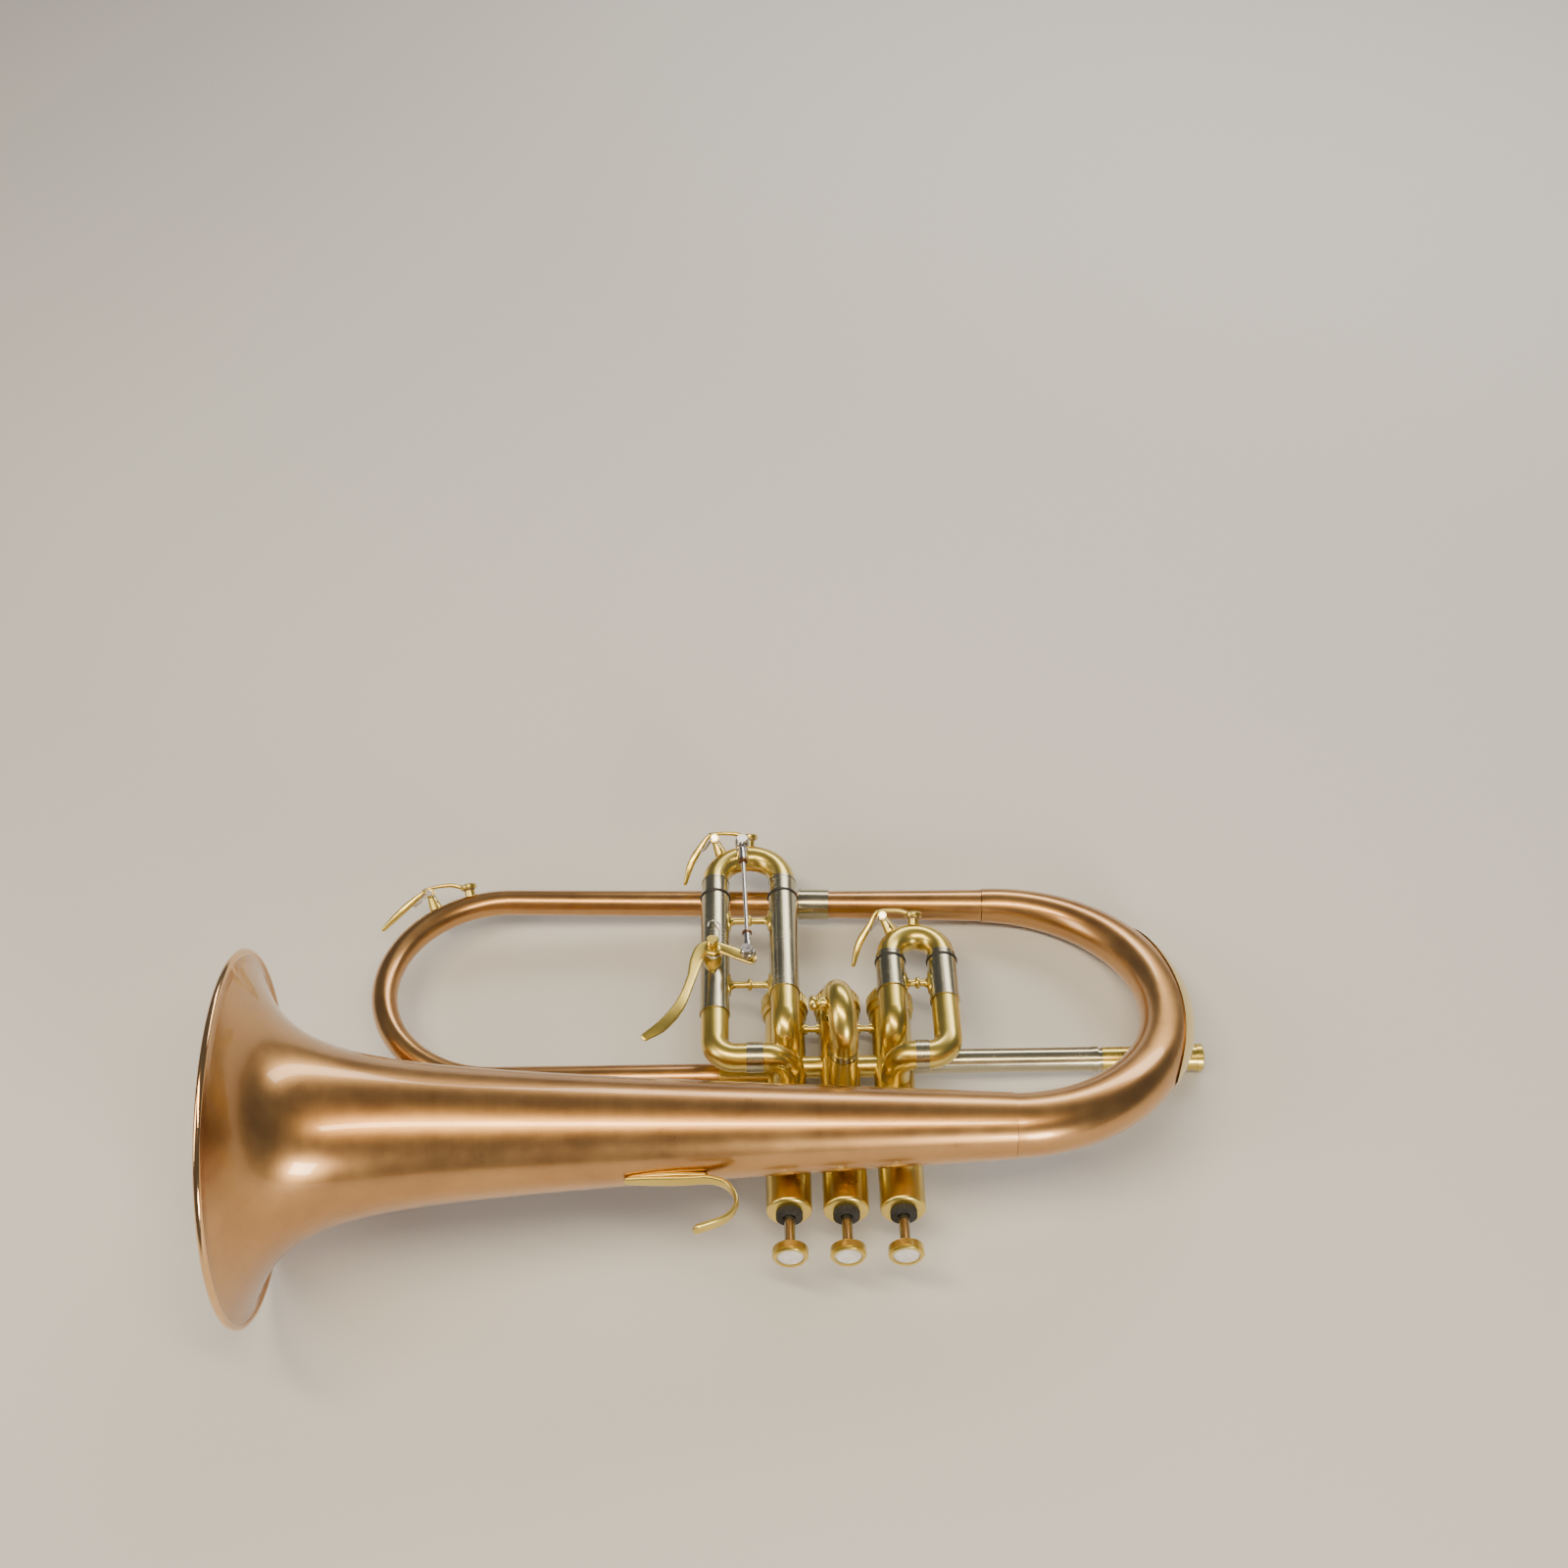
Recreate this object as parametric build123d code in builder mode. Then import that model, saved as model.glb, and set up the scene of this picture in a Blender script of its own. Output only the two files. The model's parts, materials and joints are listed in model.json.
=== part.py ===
from build123d import *
from math import cos, radians, sin
import os

# A three-valve B flat flugelhorn with a third-slide trigger, in millimetres.
# Horn frame: +X runs from the bell mouth to the player, -Y is where the fingers press,
# Z is across the horn, and the origin is on the middle valve. The last lines lay the horn down.

# Bell
bell_y = -48.4
bell_z = 34.5
rim_x = -263.8
rim_radius = 80.9
bead_radius = 1.7
wire_radius = 0.9
bell_wall = 0.7
tail_x = 74.0
tail_radius = 14.3
bell_taper = 0.048
flare_reach = 33.3

# Valves
valve_pitch = 25.4
casing_radius = 9.5
casing_bore = 8.4
casing_low = 50.0
casing_high = -50.0
cap_end = -68.9
cap_radius = 10.3
bottom_cap_end = 59.8
bottom_cap_radius = 11.3
piston_radius = 8.35
piston_travel = 16.0
stem_radius = 2.4
button_radius = 8.0

# Slides
slide_z = 23.0
low_tube_y = 1.0
elbow_y = 15.5
sleeve_radius = 7.0
sleeve_bore = 6.2
sleeve_lip = 0.2
inner_tube_radius = 6.15
inner_tube_bore = 5.65
crook_radius = 6.4
ferrule_radius = 6.7
oring_height = 1.8
oring_thick = 0.7
bend_tube_radius = 6.6
port_radius = 5.0
bend_radius = 10.0
knuckle_bend = 8.6
third_leg_gap = 33.0
first_leg_gap = 24.6
second_tube_radius = 6.6
second_inner_radius = 5.7
second_inner_bore = 5.2

# Leadpipe, front branch and bottom tube
leadpipe_y = 15.5
lead_sleeve_radius = 5.7
lead_sleeve_bore = 5.1
mouthpipe_radius = 5.05
mouthpipe_bore = 4.3
outlet_y = 8.0
front_x = -163.0
front_bow_radius = 56.5
front_tube_radius = 6.3
front_tube_bore = 5.5
bottom_tube_end = (tail_x, 107.4, 8.0)
branch_wall = 0.7
joint_gap = 0.02

# Third-slide trigger
pivot_x = -59.3
pivot_y = 57.5
lever_z = 34.0
lever_thick = 1.7
rod_z = 38.5
low_ball = (-43.1, 51.4)
high_ball = (-44.9, 123.6)

cap_seat = casing_radius + joint_gap
valve_x = {1: valve_pitch, 2: 0.0, 3: -valve_pitch}
bell_axis = Axis((0, bell_y, bell_z), (1, 0, 0))
pieces = {}

os.makedirs("parts", exist_ok=True)


def bell_outer(x):
    """Bell radius at x: a straight taper with a flare that grows towards the rim."""
    flare = rim_radius - tail_radius - bell_taper * (tail_x - rim_x)
    return tail_radius + bell_taper * (tail_x - x) + flare / (1 + (x - rim_x) / flare_reach) ** 2


def bell_profile(inset):
    """The closed half section of the bell's outside, drawn on the plane through its axis."""
    stations = (0, 3, 7, 13, 22, 35, 55, 85, 125, 185, 260)
    points = [(rim_x + s, bell_outer(rim_x + s) - inset) for s in stations]
    points.append((tail_x, tail_radius - inset))
    with BuildLine() as outline:
        Spline(*points)
        Line(points[-1], (tail_x, 0))
        Line((tail_x, 0), (rim_x, 0))
        Line((rim_x, 0), points[0])
    make_face(outline.edges())


def facing(origin, direction):
    return Plane(origin=origin, z_dir=direction)


def ring(plane, outer, inner, length):
    """A straight tube added to the piece in hand."""
    with BuildSketch(plane) as section:
        Circle(outer)
        Circle(inner, mode=Mode.SUBTRACT)
    extrude(section.sketch, amount=length)


def rod(plane, radius, length, mode=Mode.ADD):
    with BuildSketch(plane) as section:
        Circle(radius)
    extrude(section.sketch, amount=length, mode=mode)


def along(path, radius, mode=Mode.ADD):
    """A round bar of even section swept along the path."""
    with BuildSketch(Plane(origin=path @ 0, z_dir=path % 0)) as section:
        Circle(radius)
    sweep(section.sketch, path=path, mode=mode)


def bent_tube(path, outer, inner):
    along(path, outer)
    along(path, inner, Mode.SUBTRACT)


def tapered(path, radii, mode=Mode.ADD):
    """A round section that grows along the path through evenly spaced radii."""
    last = len(radii) - 1
    sections = []
    for step, radius in enumerate(radii):
        with BuildSketch(Plane(origin=path @ (step / last), z_dir=path % (step / last))) as section:
            Circle(radius)
        sections.append(section.sketch.face())
    sweep(sections, path=path, multisection=True, mode=mode)


def cut_casing(number):
    """Trims a tube's end to the round of a valve casing."""
    rod(facing((valve_x[number], casing_high, 0), (0, 1, 0)), casing_radius, casing_low - casing_high,
        Mode.SUBTRACT)


# --- Bell, its rim wire and the forms that other pieces are seated on
axis_plane = Plane(origin=(0, bell_y, bell_z), x_dir=(1, 0, 0), z_dir=(0, -1, 0))
bead_centre = (rim_x, rim_radius)

with BuildPart() as bell_form:
    with BuildSketch(axis_plane):
        bell_profile(0)
    revolve(axis=bell_axis)

with BuildPart() as bell:
    with BuildSketch(axis_plane):
        bell_profile(0)
        with Locations(bead_centre):
            Circle(bead_radius)
    revolve(axis=bell_axis)
    with BuildSketch(axis_plane):
        bell_profile(bell_wall)
    revolve(axis=bell_axis, mode=Mode.SUBTRACT)
    with BuildSketch(axis_plane):
        with Locations(bead_centre):
            Circle(wire_radius + 0.05)
    revolve(axis=bell_axis, mode=Mode.SUBTRACT)
pieces["bell"] = bell

with BuildPart() as bell_rim_wire:
    with BuildSketch(axis_plane):
        with Locations(bead_centre):
            Circle(wire_radius)
    revolve(axis=bell_axis)
pieces["bell_rim_wire"] = bell_rim_wire

# --- Bell bow, its guard, and the bottom tube
bow_low = Vector(*bottom_tube_end)
bow_high = Vector(tail_x, bell_y, bell_z)
bow_middle = (bow_low + bow_high) * 0.5 + Vector((bow_high - bow_low).length / 2, 0, 0)
bow_radii = (8.4, 10.6, 12.3, 13.5, tail_radius)
guard_thick = 0.6
guard_cut_radius = 130.0

with BuildLine() as bow_path:
    ThreePointArc(bow_low, bow_middle, bow_high)

with BuildPart() as bell_bow:
    tapered(bow_path.line, bow_radii)
    tapered(bow_path.line, [r - branch_wall for r in bow_radii], Mode.SUBTRACT)
pieces["bell_bow"] = bell_bow

with BuildPart() as bow_guard:
    tapered(bow_path.line, [r + guard_thick for r in bow_radii])
    tapered(bow_path.line, [r + joint_gap for r in bow_radii], Mode.SUBTRACT)
    guard_cut_x = bow_middle.X + 6.5 - guard_cut_radius
    rod(facing((guard_cut_x, 25, -40), (0, 0, 1)), guard_cut_radius, 120, Mode.SUBTRACT)
pieces["bow_guard"] = bow_guard

front_start = Vector(front_x, outlet_y + 2 * front_bow_radius, 0)
bottom_run = bow_low - front_start
joint_low = front_start + bottom_run * 0.616
joint_high = front_start + bottom_run * 0.679
joint_middle = (joint_low + joint_high) * 0.5
bottom_radii = (6.7, 7.3, 8.0)

with BuildLine() as bottom_path:
    Line(joint_middle + bottom_run.normalized() * 0.15, bow_low + bottom_run.normalized() * 2)

with BuildPart() as bottom_tube:
    tapered(bottom_path.line, bottom_radii)
    tapered(bottom_path.line, [r - branch_wall for r in bottom_radii], Mode.SUBTRACT)
    rod(facing((tail_x - joint_gap, bow_low.Y, bow_low.Z), (1, 0, 0)), 20, 10, Mode.SUBTRACT)
pieces["bottom_tube"] = bottom_tube

with BuildPart() as bottom_tube_ferrule:
    ring(Plane(origin=joint_low, z_dir=bottom_run), 7.6, 6.9, (joint_high - joint_low).length)
    ring(Plane(origin=joint_low, z_dir=bottom_run), 7.85, 6.9, 1.0)
pieces["bottom_tube_ferrule"] = bottom_tube_ferrule

# --- Front branch: out of valve 3, round the front bow, back along the bottom
outlet_end = -valve_pitch - 27.2

with BuildLine() as front_path:
    Line((outlet_end, outlet_y, 0), (front_x, outlet_y, 0))
    ThreePointArc((front_x, outlet_y, 0), (front_x - front_bow_radius, outlet_y + front_bow_radius, 0),
                  tuple(front_start))

with BuildLine() as bottom_front_path:
    Line(front_start, joint_middle - bottom_run.normalized() * 0.15)

with BuildPart() as front_bow:
    bent_tube(front_path.line, front_tube_radius, front_tube_bore)
    tapered(bottom_front_path.line, [front_tube_radius + grown for grown in (0, 0.2, 0.4)])
    tapered(bottom_front_path.line, [front_tube_bore + grown for grown in (0, 0.2, 0.4)], Mode.SUBTRACT)
    along(front_path.line, front_tube_bore, Mode.SUBTRACT)
pieces["front_bow"] = front_bow

with BuildPart() as outlet_ferrule:
    outlet_bore = front_tube_radius + 0.05
    ring(facing((-valve_pitch, outlet_y, 0), (-1, 0, 0)), 7.0, outlet_bore, -valve_pitch - outlet_end + 4)
    ring(facing((outlet_end - 4, outlet_y, 0), (1, 0, 0)), 7.4, outlet_bore, 1.2)
    cut_casing(3)
pieces["outlet_ferrule"] = outlet_ferrule

# --- Valve casings with their caps
crossover_y = 13.0
valve_pull_y = {1: leadpipe_y, 2: crossover_y, 3: crossover_y}
valve_push_y = {1: crossover_y, 2: crossover_y, 3: outlet_y}
second_near = (0.5, -6.0)
second_far = (-2.5, 18.0)
slide_ports = {1: ((0, low_tube_y), (0, elbow_y)), 2: (second_near, second_far),
               3: ((0, low_tube_y), (0, elbow_y))}

for number, x in valve_x.items():
    with BuildPart() as casing:
        ring(facing((x, casing_high, 0), (0, 1, 0)), casing_radius, casing_bore, casing_low - casing_high)
        for shift, y in slide_ports[number]:
            rod(facing((x + shift, y, 0), (0, 0, 1)), port_radius, 2 * casing_radius, Mode.SUBTRACT)
        rod(facing((x, valve_pull_y[number], 0), (1, 0, 0)), 4.6, 2 * casing_radius, Mode.SUBTRACT)
        rod(facing((x, valve_push_y[number], 0), (-1, 0, 0)), 4.6, 2 * casing_radius, Mode.SUBTRACT)
    pieces[f"valve_casing_{number}"] = casing

ridge_count = 40
with BuildPart() as bottom_caps:
    for x in valve_x.values():
        cap_plane = Plane(origin=(x, 0, 0), x_dir=(1, 0, 0), z_dir=(0, 0, 1))
        with BuildSketch(cap_plane):
            with BuildLine():
                Polyline((cap_seat, casing_low - 7), (bottom_cap_radius - 0.9, casing_low - 7),
                         (bottom_cap_radius - 0.9, casing_low - 3.5), (bottom_cap_radius, casing_low - 3),
                         (bottom_cap_radius, casing_low + 2.5), (bottom_cap_radius - 0.8, casing_low + 3.2))
                ThreePointArc((bottom_cap_radius - 0.8, casing_low + 3.2), (7.2, bottom_cap_end - 1.6),
                              (1.4, bottom_cap_end))
                Polyline((1.4, bottom_cap_end), (1.4, casing_low + 7), (casing_bore, casing_low + 4),
                         (casing_bore, casing_low + joint_gap), (cap_seat, casing_low + joint_gap),
                         (cap_seat, casing_low - 7))
            make_face()
        revolve(axis=Axis((x, 0, 0), (0, 1, 0)))
        with BuildSketch(facing((x, casing_low - 2.6, 0), (0, 1, 0))):
            with PolarLocations(bottom_cap_radius + 0.15, ridge_count):
                Circle(0.5)
        extrude(amount=4.6, mode=Mode.SUBTRACT)
pieces["bottom_caps"] = bottom_caps

with BuildPart() as top_caps:
    for x in valve_x.values():
        with BuildSketch(Plane(origin=(x, 0, 0), x_dir=(1, 0, 0), z_dir=(0, 0, 1))):
            with BuildLine():
                Polyline((cap_seat, casing_high + 6), (cap_radius, casing_high + 6),
                         (cap_radius, cap_end + 2.0))
                ThreePointArc((cap_radius, cap_end + 2.0), (cap_radius - 0.5, cap_end + 0.7),
                              (cap_radius - 1.8, cap_end + 0.2))
                Polyline((cap_radius - 1.8, cap_end + 0.2), (6.2, cap_end), (stem_radius + 0.1, cap_end),
                         (stem_radius + 0.1, cap_end + 3), (casing_bore, cap_end + 3),
                         (casing_bore, casing_high - joint_gap), (cap_seat, casing_high - joint_gap),
                         (cap_seat, casing_high + 6))
            make_face()
        revolve(axis=Axis((x, 0, 0), (0, 1, 0)))
pieces["top_caps"] = top_caps

felt_thick = 2.5
with BuildPart() as cap_felts:
    for x in valve_x.values():
        ring(facing((x, cap_end, 0), (0, -1, 0)), 6.0, stem_radius + 0.4, felt_thick)
pieces["cap_felts"] = cap_felts

# --- Pistons, stem felts, springs and finger buttons
piston_low = 34.0
barrel_high = cap_end + 3 + 2.6
button_low = cap_end - felt_thick - piston_travel - 0.5
for number, x in valve_x.items():
    with BuildPart() as piston:
        rod(facing((x, -30, 0), (0, 1, 0)), piston_radius, piston_low + 30)
        rod(facing((x, -30, 0), (0, -1, 0)), 7.6, -30 - barrel_high)
        rod(facing((x, barrel_high, 0), (0, -1, 0)), stem_radius, barrel_high - button_low)
        rod(facing((x, piston_low, 0), (0, -1, 0)), 6.4, 9, Mode.SUBTRACT)
        rod(facing((x, -24, 0), (0, -1, 0)), 6.9, -24 - barrel_high - 1.6, Mode.SUBTRACT)
        rod(facing((x - 10, crossover_y, 0), (1, 0, 0)), 4.3, 20, Mode.SUBTRACT)
        for shift, y in slide_ports[number]:
            rod(facing((x + shift, y - piston_travel, 2.0), (0, 0, 1)), 4.3, 10, Mode.SUBTRACT)
    pieces[f"piston_{number}"] = piston

    with BuildPart() as button:
        rod(facing((x, button_low - joint_gap, 0), (0, -1, 0)), button_radius, 3.2)
        rod(facing((x, button_low - 3.22, 0), (0, -1, 0)), button_radius - 0.6, 1.2)
        chamfer(button.edges().filter_by(GeomType.CIRCLE).group_by(Axis.Y)[0], 0.4)
        rod(facing((x, button_low - 4.42, 0), (0, 1, 0)), button_radius - 2.0, 1.6, Mode.SUBTRACT)
    pieces[f"finger_button_{number}"] = button

    with BuildPart() as spring:
        with BuildLine() as coil:
            Helix(pitch=3.4, height=28.6, radius=5.4, center=(x, piston_low - 8.4, 0), direction=(0, 1, 0))
        with BuildSketch(Plane(origin=coil.line @ 0, z_dir=coil.line % 0)):
            Circle(0.45)
        sweep(path=coil.line, is_frenet=True)
    pieces[f"valve_spring_{number}"] = spring

with BuildPart() as casing_links:
    for left in (-valve_pitch, 0.0):
        ring(facing((left, crossover_y, 0), (1, 0, 0)), 5.2, 4.6, valve_pitch)
        middle = left + valve_pitch / 2
        for y in (36.0, -30.0):
            rod(facing((left, y, 0), (1, 0, 0)), 1.6, valve_pitch)
            for side in (-1, 1):
                rod(facing((middle + side * 2.0, y, 0), (side, 0, 0)), 2.6, 8)
    for number in valve_x:
        cut_casing(number)
pieces["casing_links"] = casing_links


# --- First and third slides: the same building at two sizes
def leg_tubes(x_inner, x_outer, inner_low, outer_low, high):
    """The two fixed outer sleeves that the slide's legs run in."""
    with BuildPart() as sleeves:
        for x, low in ((x_inner, inner_low), (x_outer, outer_low)):
            ring(facing((x, low, slide_z), (0, 1, 0)), sleeve_radius, sleeve_bore, high - low)
            ring(facing((x, low, slide_z), (0, 1, 0)), sleeve_radius + sleeve_lip, sleeve_bore, 1.6)
    return sleeves


def elbow_tube(x, low):
    """From the inner sleeve, down towards the valve casing."""
    with BuildLine() as path:
        FilletPolyline((x, low, slide_z), (x, elbow_y, slide_z), (x, elbow_y, 6), radius=bend_radius)
    bent_tube(path.line, bend_tube_radius, port_radius)


def low_bend(x_outer, low, x_end):
    """From the outer sleeve round to the low tube that runs along the horn."""
    with BuildLine() as path:
        FilletPolyline((x_outer, low, slide_z), (x_outer, low_tube_y, slide_z), (x_end, low_tube_y, slide_z),
                       radius=bend_radius)
    bent_tube(path.line, bend_tube_radius, port_radius)


def knuckle(x, x_start):
    """The tight bend that drops the low tube towards the side of the casing."""
    with BuildLine() as path:
        FilletPolyline((x_start, low_tube_y, slide_z), (x, low_tube_y, slide_z), (x, low_tube_y, 6),
                       radius=knuckle_bend)
    bent_tube(path.line, bend_tube_radius, port_radius)


def crook_path(x_inner, x_outer, high):
    half = abs(x_outer - x_inner) / 2
    with BuildLine() as path:
        ThreePointArc((x_inner, high, slide_z), ((x_inner + x_outer) / 2, high + half, slide_z),
                      (x_outer, high, slide_z))
    return path.line


def slide_crook(x_inner, x_outer, high):
    """The U at the end of a moving slide."""
    with BuildPart() as crook:
        bent_tube(crook_path(x_inner, x_outer, high), crook_radius, inner_tube_bore)
    return crook


def slide_legs(x_inner, x_outer, sleeve_high, ferrule_high, reach):
    """Inner tubes of a moving slide, each with the ferrule that joins it to the crook."""
    with BuildPart() as legs:
        for x in (x_inner, x_outer):
            top = facing((x, ferrule_high - joint_gap, slide_z), (0, -1, 0))
            ring(top, inner_tube_radius, inner_tube_bore, ferrule_high - sleeve_high + reach)
            ring(top, ferrule_radius, inner_tube_bore, ferrule_high - sleeve_high - oring_height)
            ring(top, ferrule_radius + 0.2, inner_tube_bore, 1.2)
    return legs


def slide_orings(x_inner, x_outer, sleeve_high):
    """Rubber stops between the sleeve's end and the ferrule."""
    with BuildPart() as rings:
        for x in (x_inner, x_outer):
            with BuildSketch(Plane(origin=(x, 0, slide_z), x_dir=(1, 0, 0), z_dir=(0, 0, 1))):
                with Locations((inner_tube_radius + joint_gap + oring_thick,
                                sleeve_high + oring_height / 2)):
                    Ellipse(oring_thick, oring_height / 2 - 0.05)
            revolve(axis=Axis((x, 0, slide_z), (0, 1, 0)))
    return rings


third_inner = -valve_pitch
third_outer = third_inner - third_leg_gap
first_inner = valve_pitch
first_outer = first_inner + first_leg_gap
third_sleeve_high = 99.5
third_ferrule_high = 111.0
first_sleeve_high = 56.5
first_ferrule_high = 61.2
third_leg_reach = 44.0
first_leg_reach = 16.4
third_inner_low = 39.5
third_outer_low = 26.4
first_inner_low = 39.0
first_outer_low = 32.7
third_ferrule_x = (-43.6, -36.0)
first_ferrule_x = (40.2, 34.0)

pieces["third_slide_sleeves"] = leg_tubes(third_inner, third_outer, third_inner_low, third_outer_low,
                                          third_sleeve_high)
pieces["first_slide_sleeves"] = leg_tubes(first_inner, first_outer, first_inner_low, first_outer_low,
                                          first_sleeve_high)
with BuildPart() as slide_elbows:
    elbow_tube(third_inner, third_inner_low)
    elbow_tube(first_inner, first_inner_low)
    cut_casing(3)
    cut_casing(1)
pieces["slide_elbows"] = slide_elbows

with BuildPart() as slide_bends:
    low_bend(third_outer, third_outer_low, sum(third_ferrule_x) / 2 - 0.1)
    low_bend(first_outer, first_outer_low, sum(first_ferrule_x) / 2 + 0.1)
pieces["slide_bends"] = slide_bends

with BuildPart() as slide_knuckles:
    knuckle(third_inner, sum(third_ferrule_x) / 2 + 0.1)
    knuckle(first_inner, sum(first_ferrule_x) / 2 - 0.1)
    cut_casing(3)
    cut_casing(1)
pieces["slide_knuckles"] = slide_knuckles

pieces["third_slide_crook"] = slide_crook(third_inner, third_outer, third_ferrule_high)
pieces["first_slide_crook"] = slide_crook(first_inner, first_outer, first_ferrule_high)
pieces["third_slide_legs"] = slide_legs(third_inner, third_outer, third_sleeve_high, third_ferrule_high,
                                        third_leg_reach)
pieces["first_slide_legs"] = slide_legs(first_inner, first_outer, first_sleeve_high, first_ferrule_high,
                                        first_leg_reach)
pieces["third_slide_orings"] = slide_orings(third_inner, third_outer, third_sleeve_high)
pieces["first_slide_orings"] = slide_orings(first_inner, first_outer, first_sleeve_high)

with BuildPart() as low_tube_ferrules:
    for start, end in (third_ferrule_x, first_ferrule_x):
        way = 1 if end > start else -1
        ring(facing((start, low_tube_y, slide_z), (way, 0, 0)), bend_tube_radius + 0.45,
             bend_tube_radius + joint_gap, abs(end - start))
pieces["low_tube_ferrules"] = low_tube_ferrules

brace_rows = ((third_outer, third_inner, 44.7), (third_outer, third_inner, 85.4),
              (first_inner, first_outer, 44.4))
with BuildPart() as slide_braces:
    for x_a, x_b, y in brace_rows:
        middle = (x_a + x_b) / 2
        reach = abs(x_b - x_a) / 2 - sleeve_radius
        for side in (-1, 1):
            with BuildSketch(Plane(origin=(middle + side * (reach - 0.5), y, slide_z), x_dir=(0, 1, 0),
                                   z_dir=(side, 0, 0))):
                Ellipse(5.8, 4.0)
            extrude(amount=3.0)
        rod(facing((middle - reach, y, slide_z), (1, 0, 0)), 1.9, 2 * reach)
        rod(facing((middle - 0.9, y, slide_z), (1, 0, 0)), 2.9, 1.8)
    for x, low in ((third_inner, third_inner_low), (third_outer, third_outer_low),
                   (first_inner, first_inner_low), (first_outer, first_outer_low)):
        rod(facing((x, low, slide_z), (0, 1, 0)), sleeve_radius, 80, Mode.SUBTRACT)
        rod(facing((x, low - 3, slide_z), (0, 1, 0)), sleeve_radius + sleeve_lip, 4.6, Mode.SUBTRACT)
pieces["slide_braces"] = slide_braces

# --- Second slide: a short U that stands out from the middle casing
second_ring_z = 34.0
second_ferrule_high = 38.0
second_bend_z = 43.0
second_leg_low = 14.0
near = Vector(second_near[0], second_near[1], 0)
far = Vector(second_far[0], second_far[1], 0)
up = Vector(0, 0, 1)
second_half = (far - near).length / 2

with BuildPart() as second_slide_sleeves:
    for foot in (near, far):
        ring(Plane(origin=foot, z_dir=up), second_tube_radius, second_inner_radius + 0.05, second_ring_z)
        ring(Plane(origin=foot + up * (second_ring_z - 2.2), z_dir=up), second_tube_radius + 0.3,
             second_inner_radius + 0.05, 2.2)
    cut_casing(2)
pieces["second_slide_sleeves"] = second_slide_sleeves

with BuildLine() as second_path:
    ThreePointArc(near + up * second_bend_z,
                  (near + far) * 0.5 + up * (second_bend_z + second_half),
                  far + up * second_bend_z)

with BuildPart() as second_slide_legs:
    for foot in (near, far):
        ring(Plane(origin=foot + up * second_leg_low, z_dir=up), second_inner_radius, second_inner_bore,
             second_bend_z - second_leg_low - joint_gap)
        ring(Plane(origin=foot + up * (second_ring_z + 0.4), z_dir=up), second_tube_radius,
             second_inner_bore, second_ferrule_high - second_ring_z - 0.4)
pieces["second_slide_legs"] = second_slide_legs

with BuildPart() as second_slide_crook:
    bent_tube(second_path.line, crook_radius, second_inner_bore)
    for foot in (near, far):
        ring(Plane(origin=foot + up * (second_ferrule_high + joint_gap), z_dir=up), crook_radius,
             second_inner_radius + joint_gap, second_bend_z - second_ferrule_high - joint_gap)
with BuildPart() as second_slide_knob:
    knob_foot = (near + far) * 0.5 + up * (second_bend_z + second_half)
    with BuildSketch(Plane(origin=knob_foot, x_dir=(-1, 0, 0), z_dir=(0, -1, 0))):
        with BuildLine():
            Polyline((0, 0), (0, 1.8), (7.0, 1.8), (7.0, 2.9), (8.6, 2.9), (8.6, 1.4), (10.2, 1.4))
            Spline((10.2, 1.4), (11.2, 3.3), (13.2, 3.3), (14.2, 1.6))
            Polyline((14.2, 1.6), (14.2, 0), (0, 0))
        make_face()
    revolve(axis=Axis(tuple(knob_foot), (-1, 0, 0)))
    along(second_path.line, crook_radius, Mode.SUBTRACT)

with BuildPart() as second_slide_crown:
    add(second_slide_crook.part)
    add(second_slide_knob.part)
pieces["second_slide_crook"] = second_slide_crown

# --- Leadpipe: fixed outer sleeve, sliding mouthpipe and receiver
lead_sleeve_end = 122.0
mouthpipe_low = 52.0
mouthpipe_high = 146.0
receiver_low = 124.0
receiver_end = 171.5
receiver_bore = 4.75
receiver_ring = 6.6
with BuildPart() as leadpipe_sleeve:
    ring(facing((valve_pitch, leadpipe_y, 0), (1, 0, 0)), lead_sleeve_radius, lead_sleeve_bore,
         lead_sleeve_end - valve_pitch)
    ring(facing((lead_sleeve_end - 2.5, leadpipe_y, 0), (1, 0, 0)), lead_sleeve_radius + 0.3,
         lead_sleeve_bore, 2.5)
    cut_casing(1)
pieces["leadpipe_sleeve"] = leadpipe_sleeve

with BuildPart() as mouthpipe:
    ring(facing((mouthpipe_low, leadpipe_y, 0), (1, 0, 0)), mouthpipe_radius, mouthpipe_bore,
         mouthpipe_high - mouthpipe_low)
pieces["mouthpipe"] = mouthpipe

with BuildPart() as mouthpiece_receiver:
    with BuildSketch(Plane(origin=(0, leadpipe_y, 0), x_dir=(1, 0, 0), z_dir=(0, 0, 1))):
        with BuildLine():
            seat = mouthpipe_radius + joint_gap
            shoulder = mouthpipe_high + 0.05
            Polyline((receiver_low, seat), (receiver_low, 5.5), (mouthpipe_high, 5.7), (mouthpipe_high + 4, 6.1),
                     (receiver_end - 3, 6.1), (receiver_end - 3, receiver_ring),
                     (receiver_end - 0.6, receiver_ring), (receiver_end, 6.1), (receiver_end, receiver_bore),
                     (shoulder, receiver_bore), (shoulder, seat), (receiver_low, seat))
        make_face()
    revolve(axis=Axis((0, leadpipe_y, 0), (1, 0, 0)))
pieces["mouthpiece_receiver"] = mouthpiece_receiver

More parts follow.
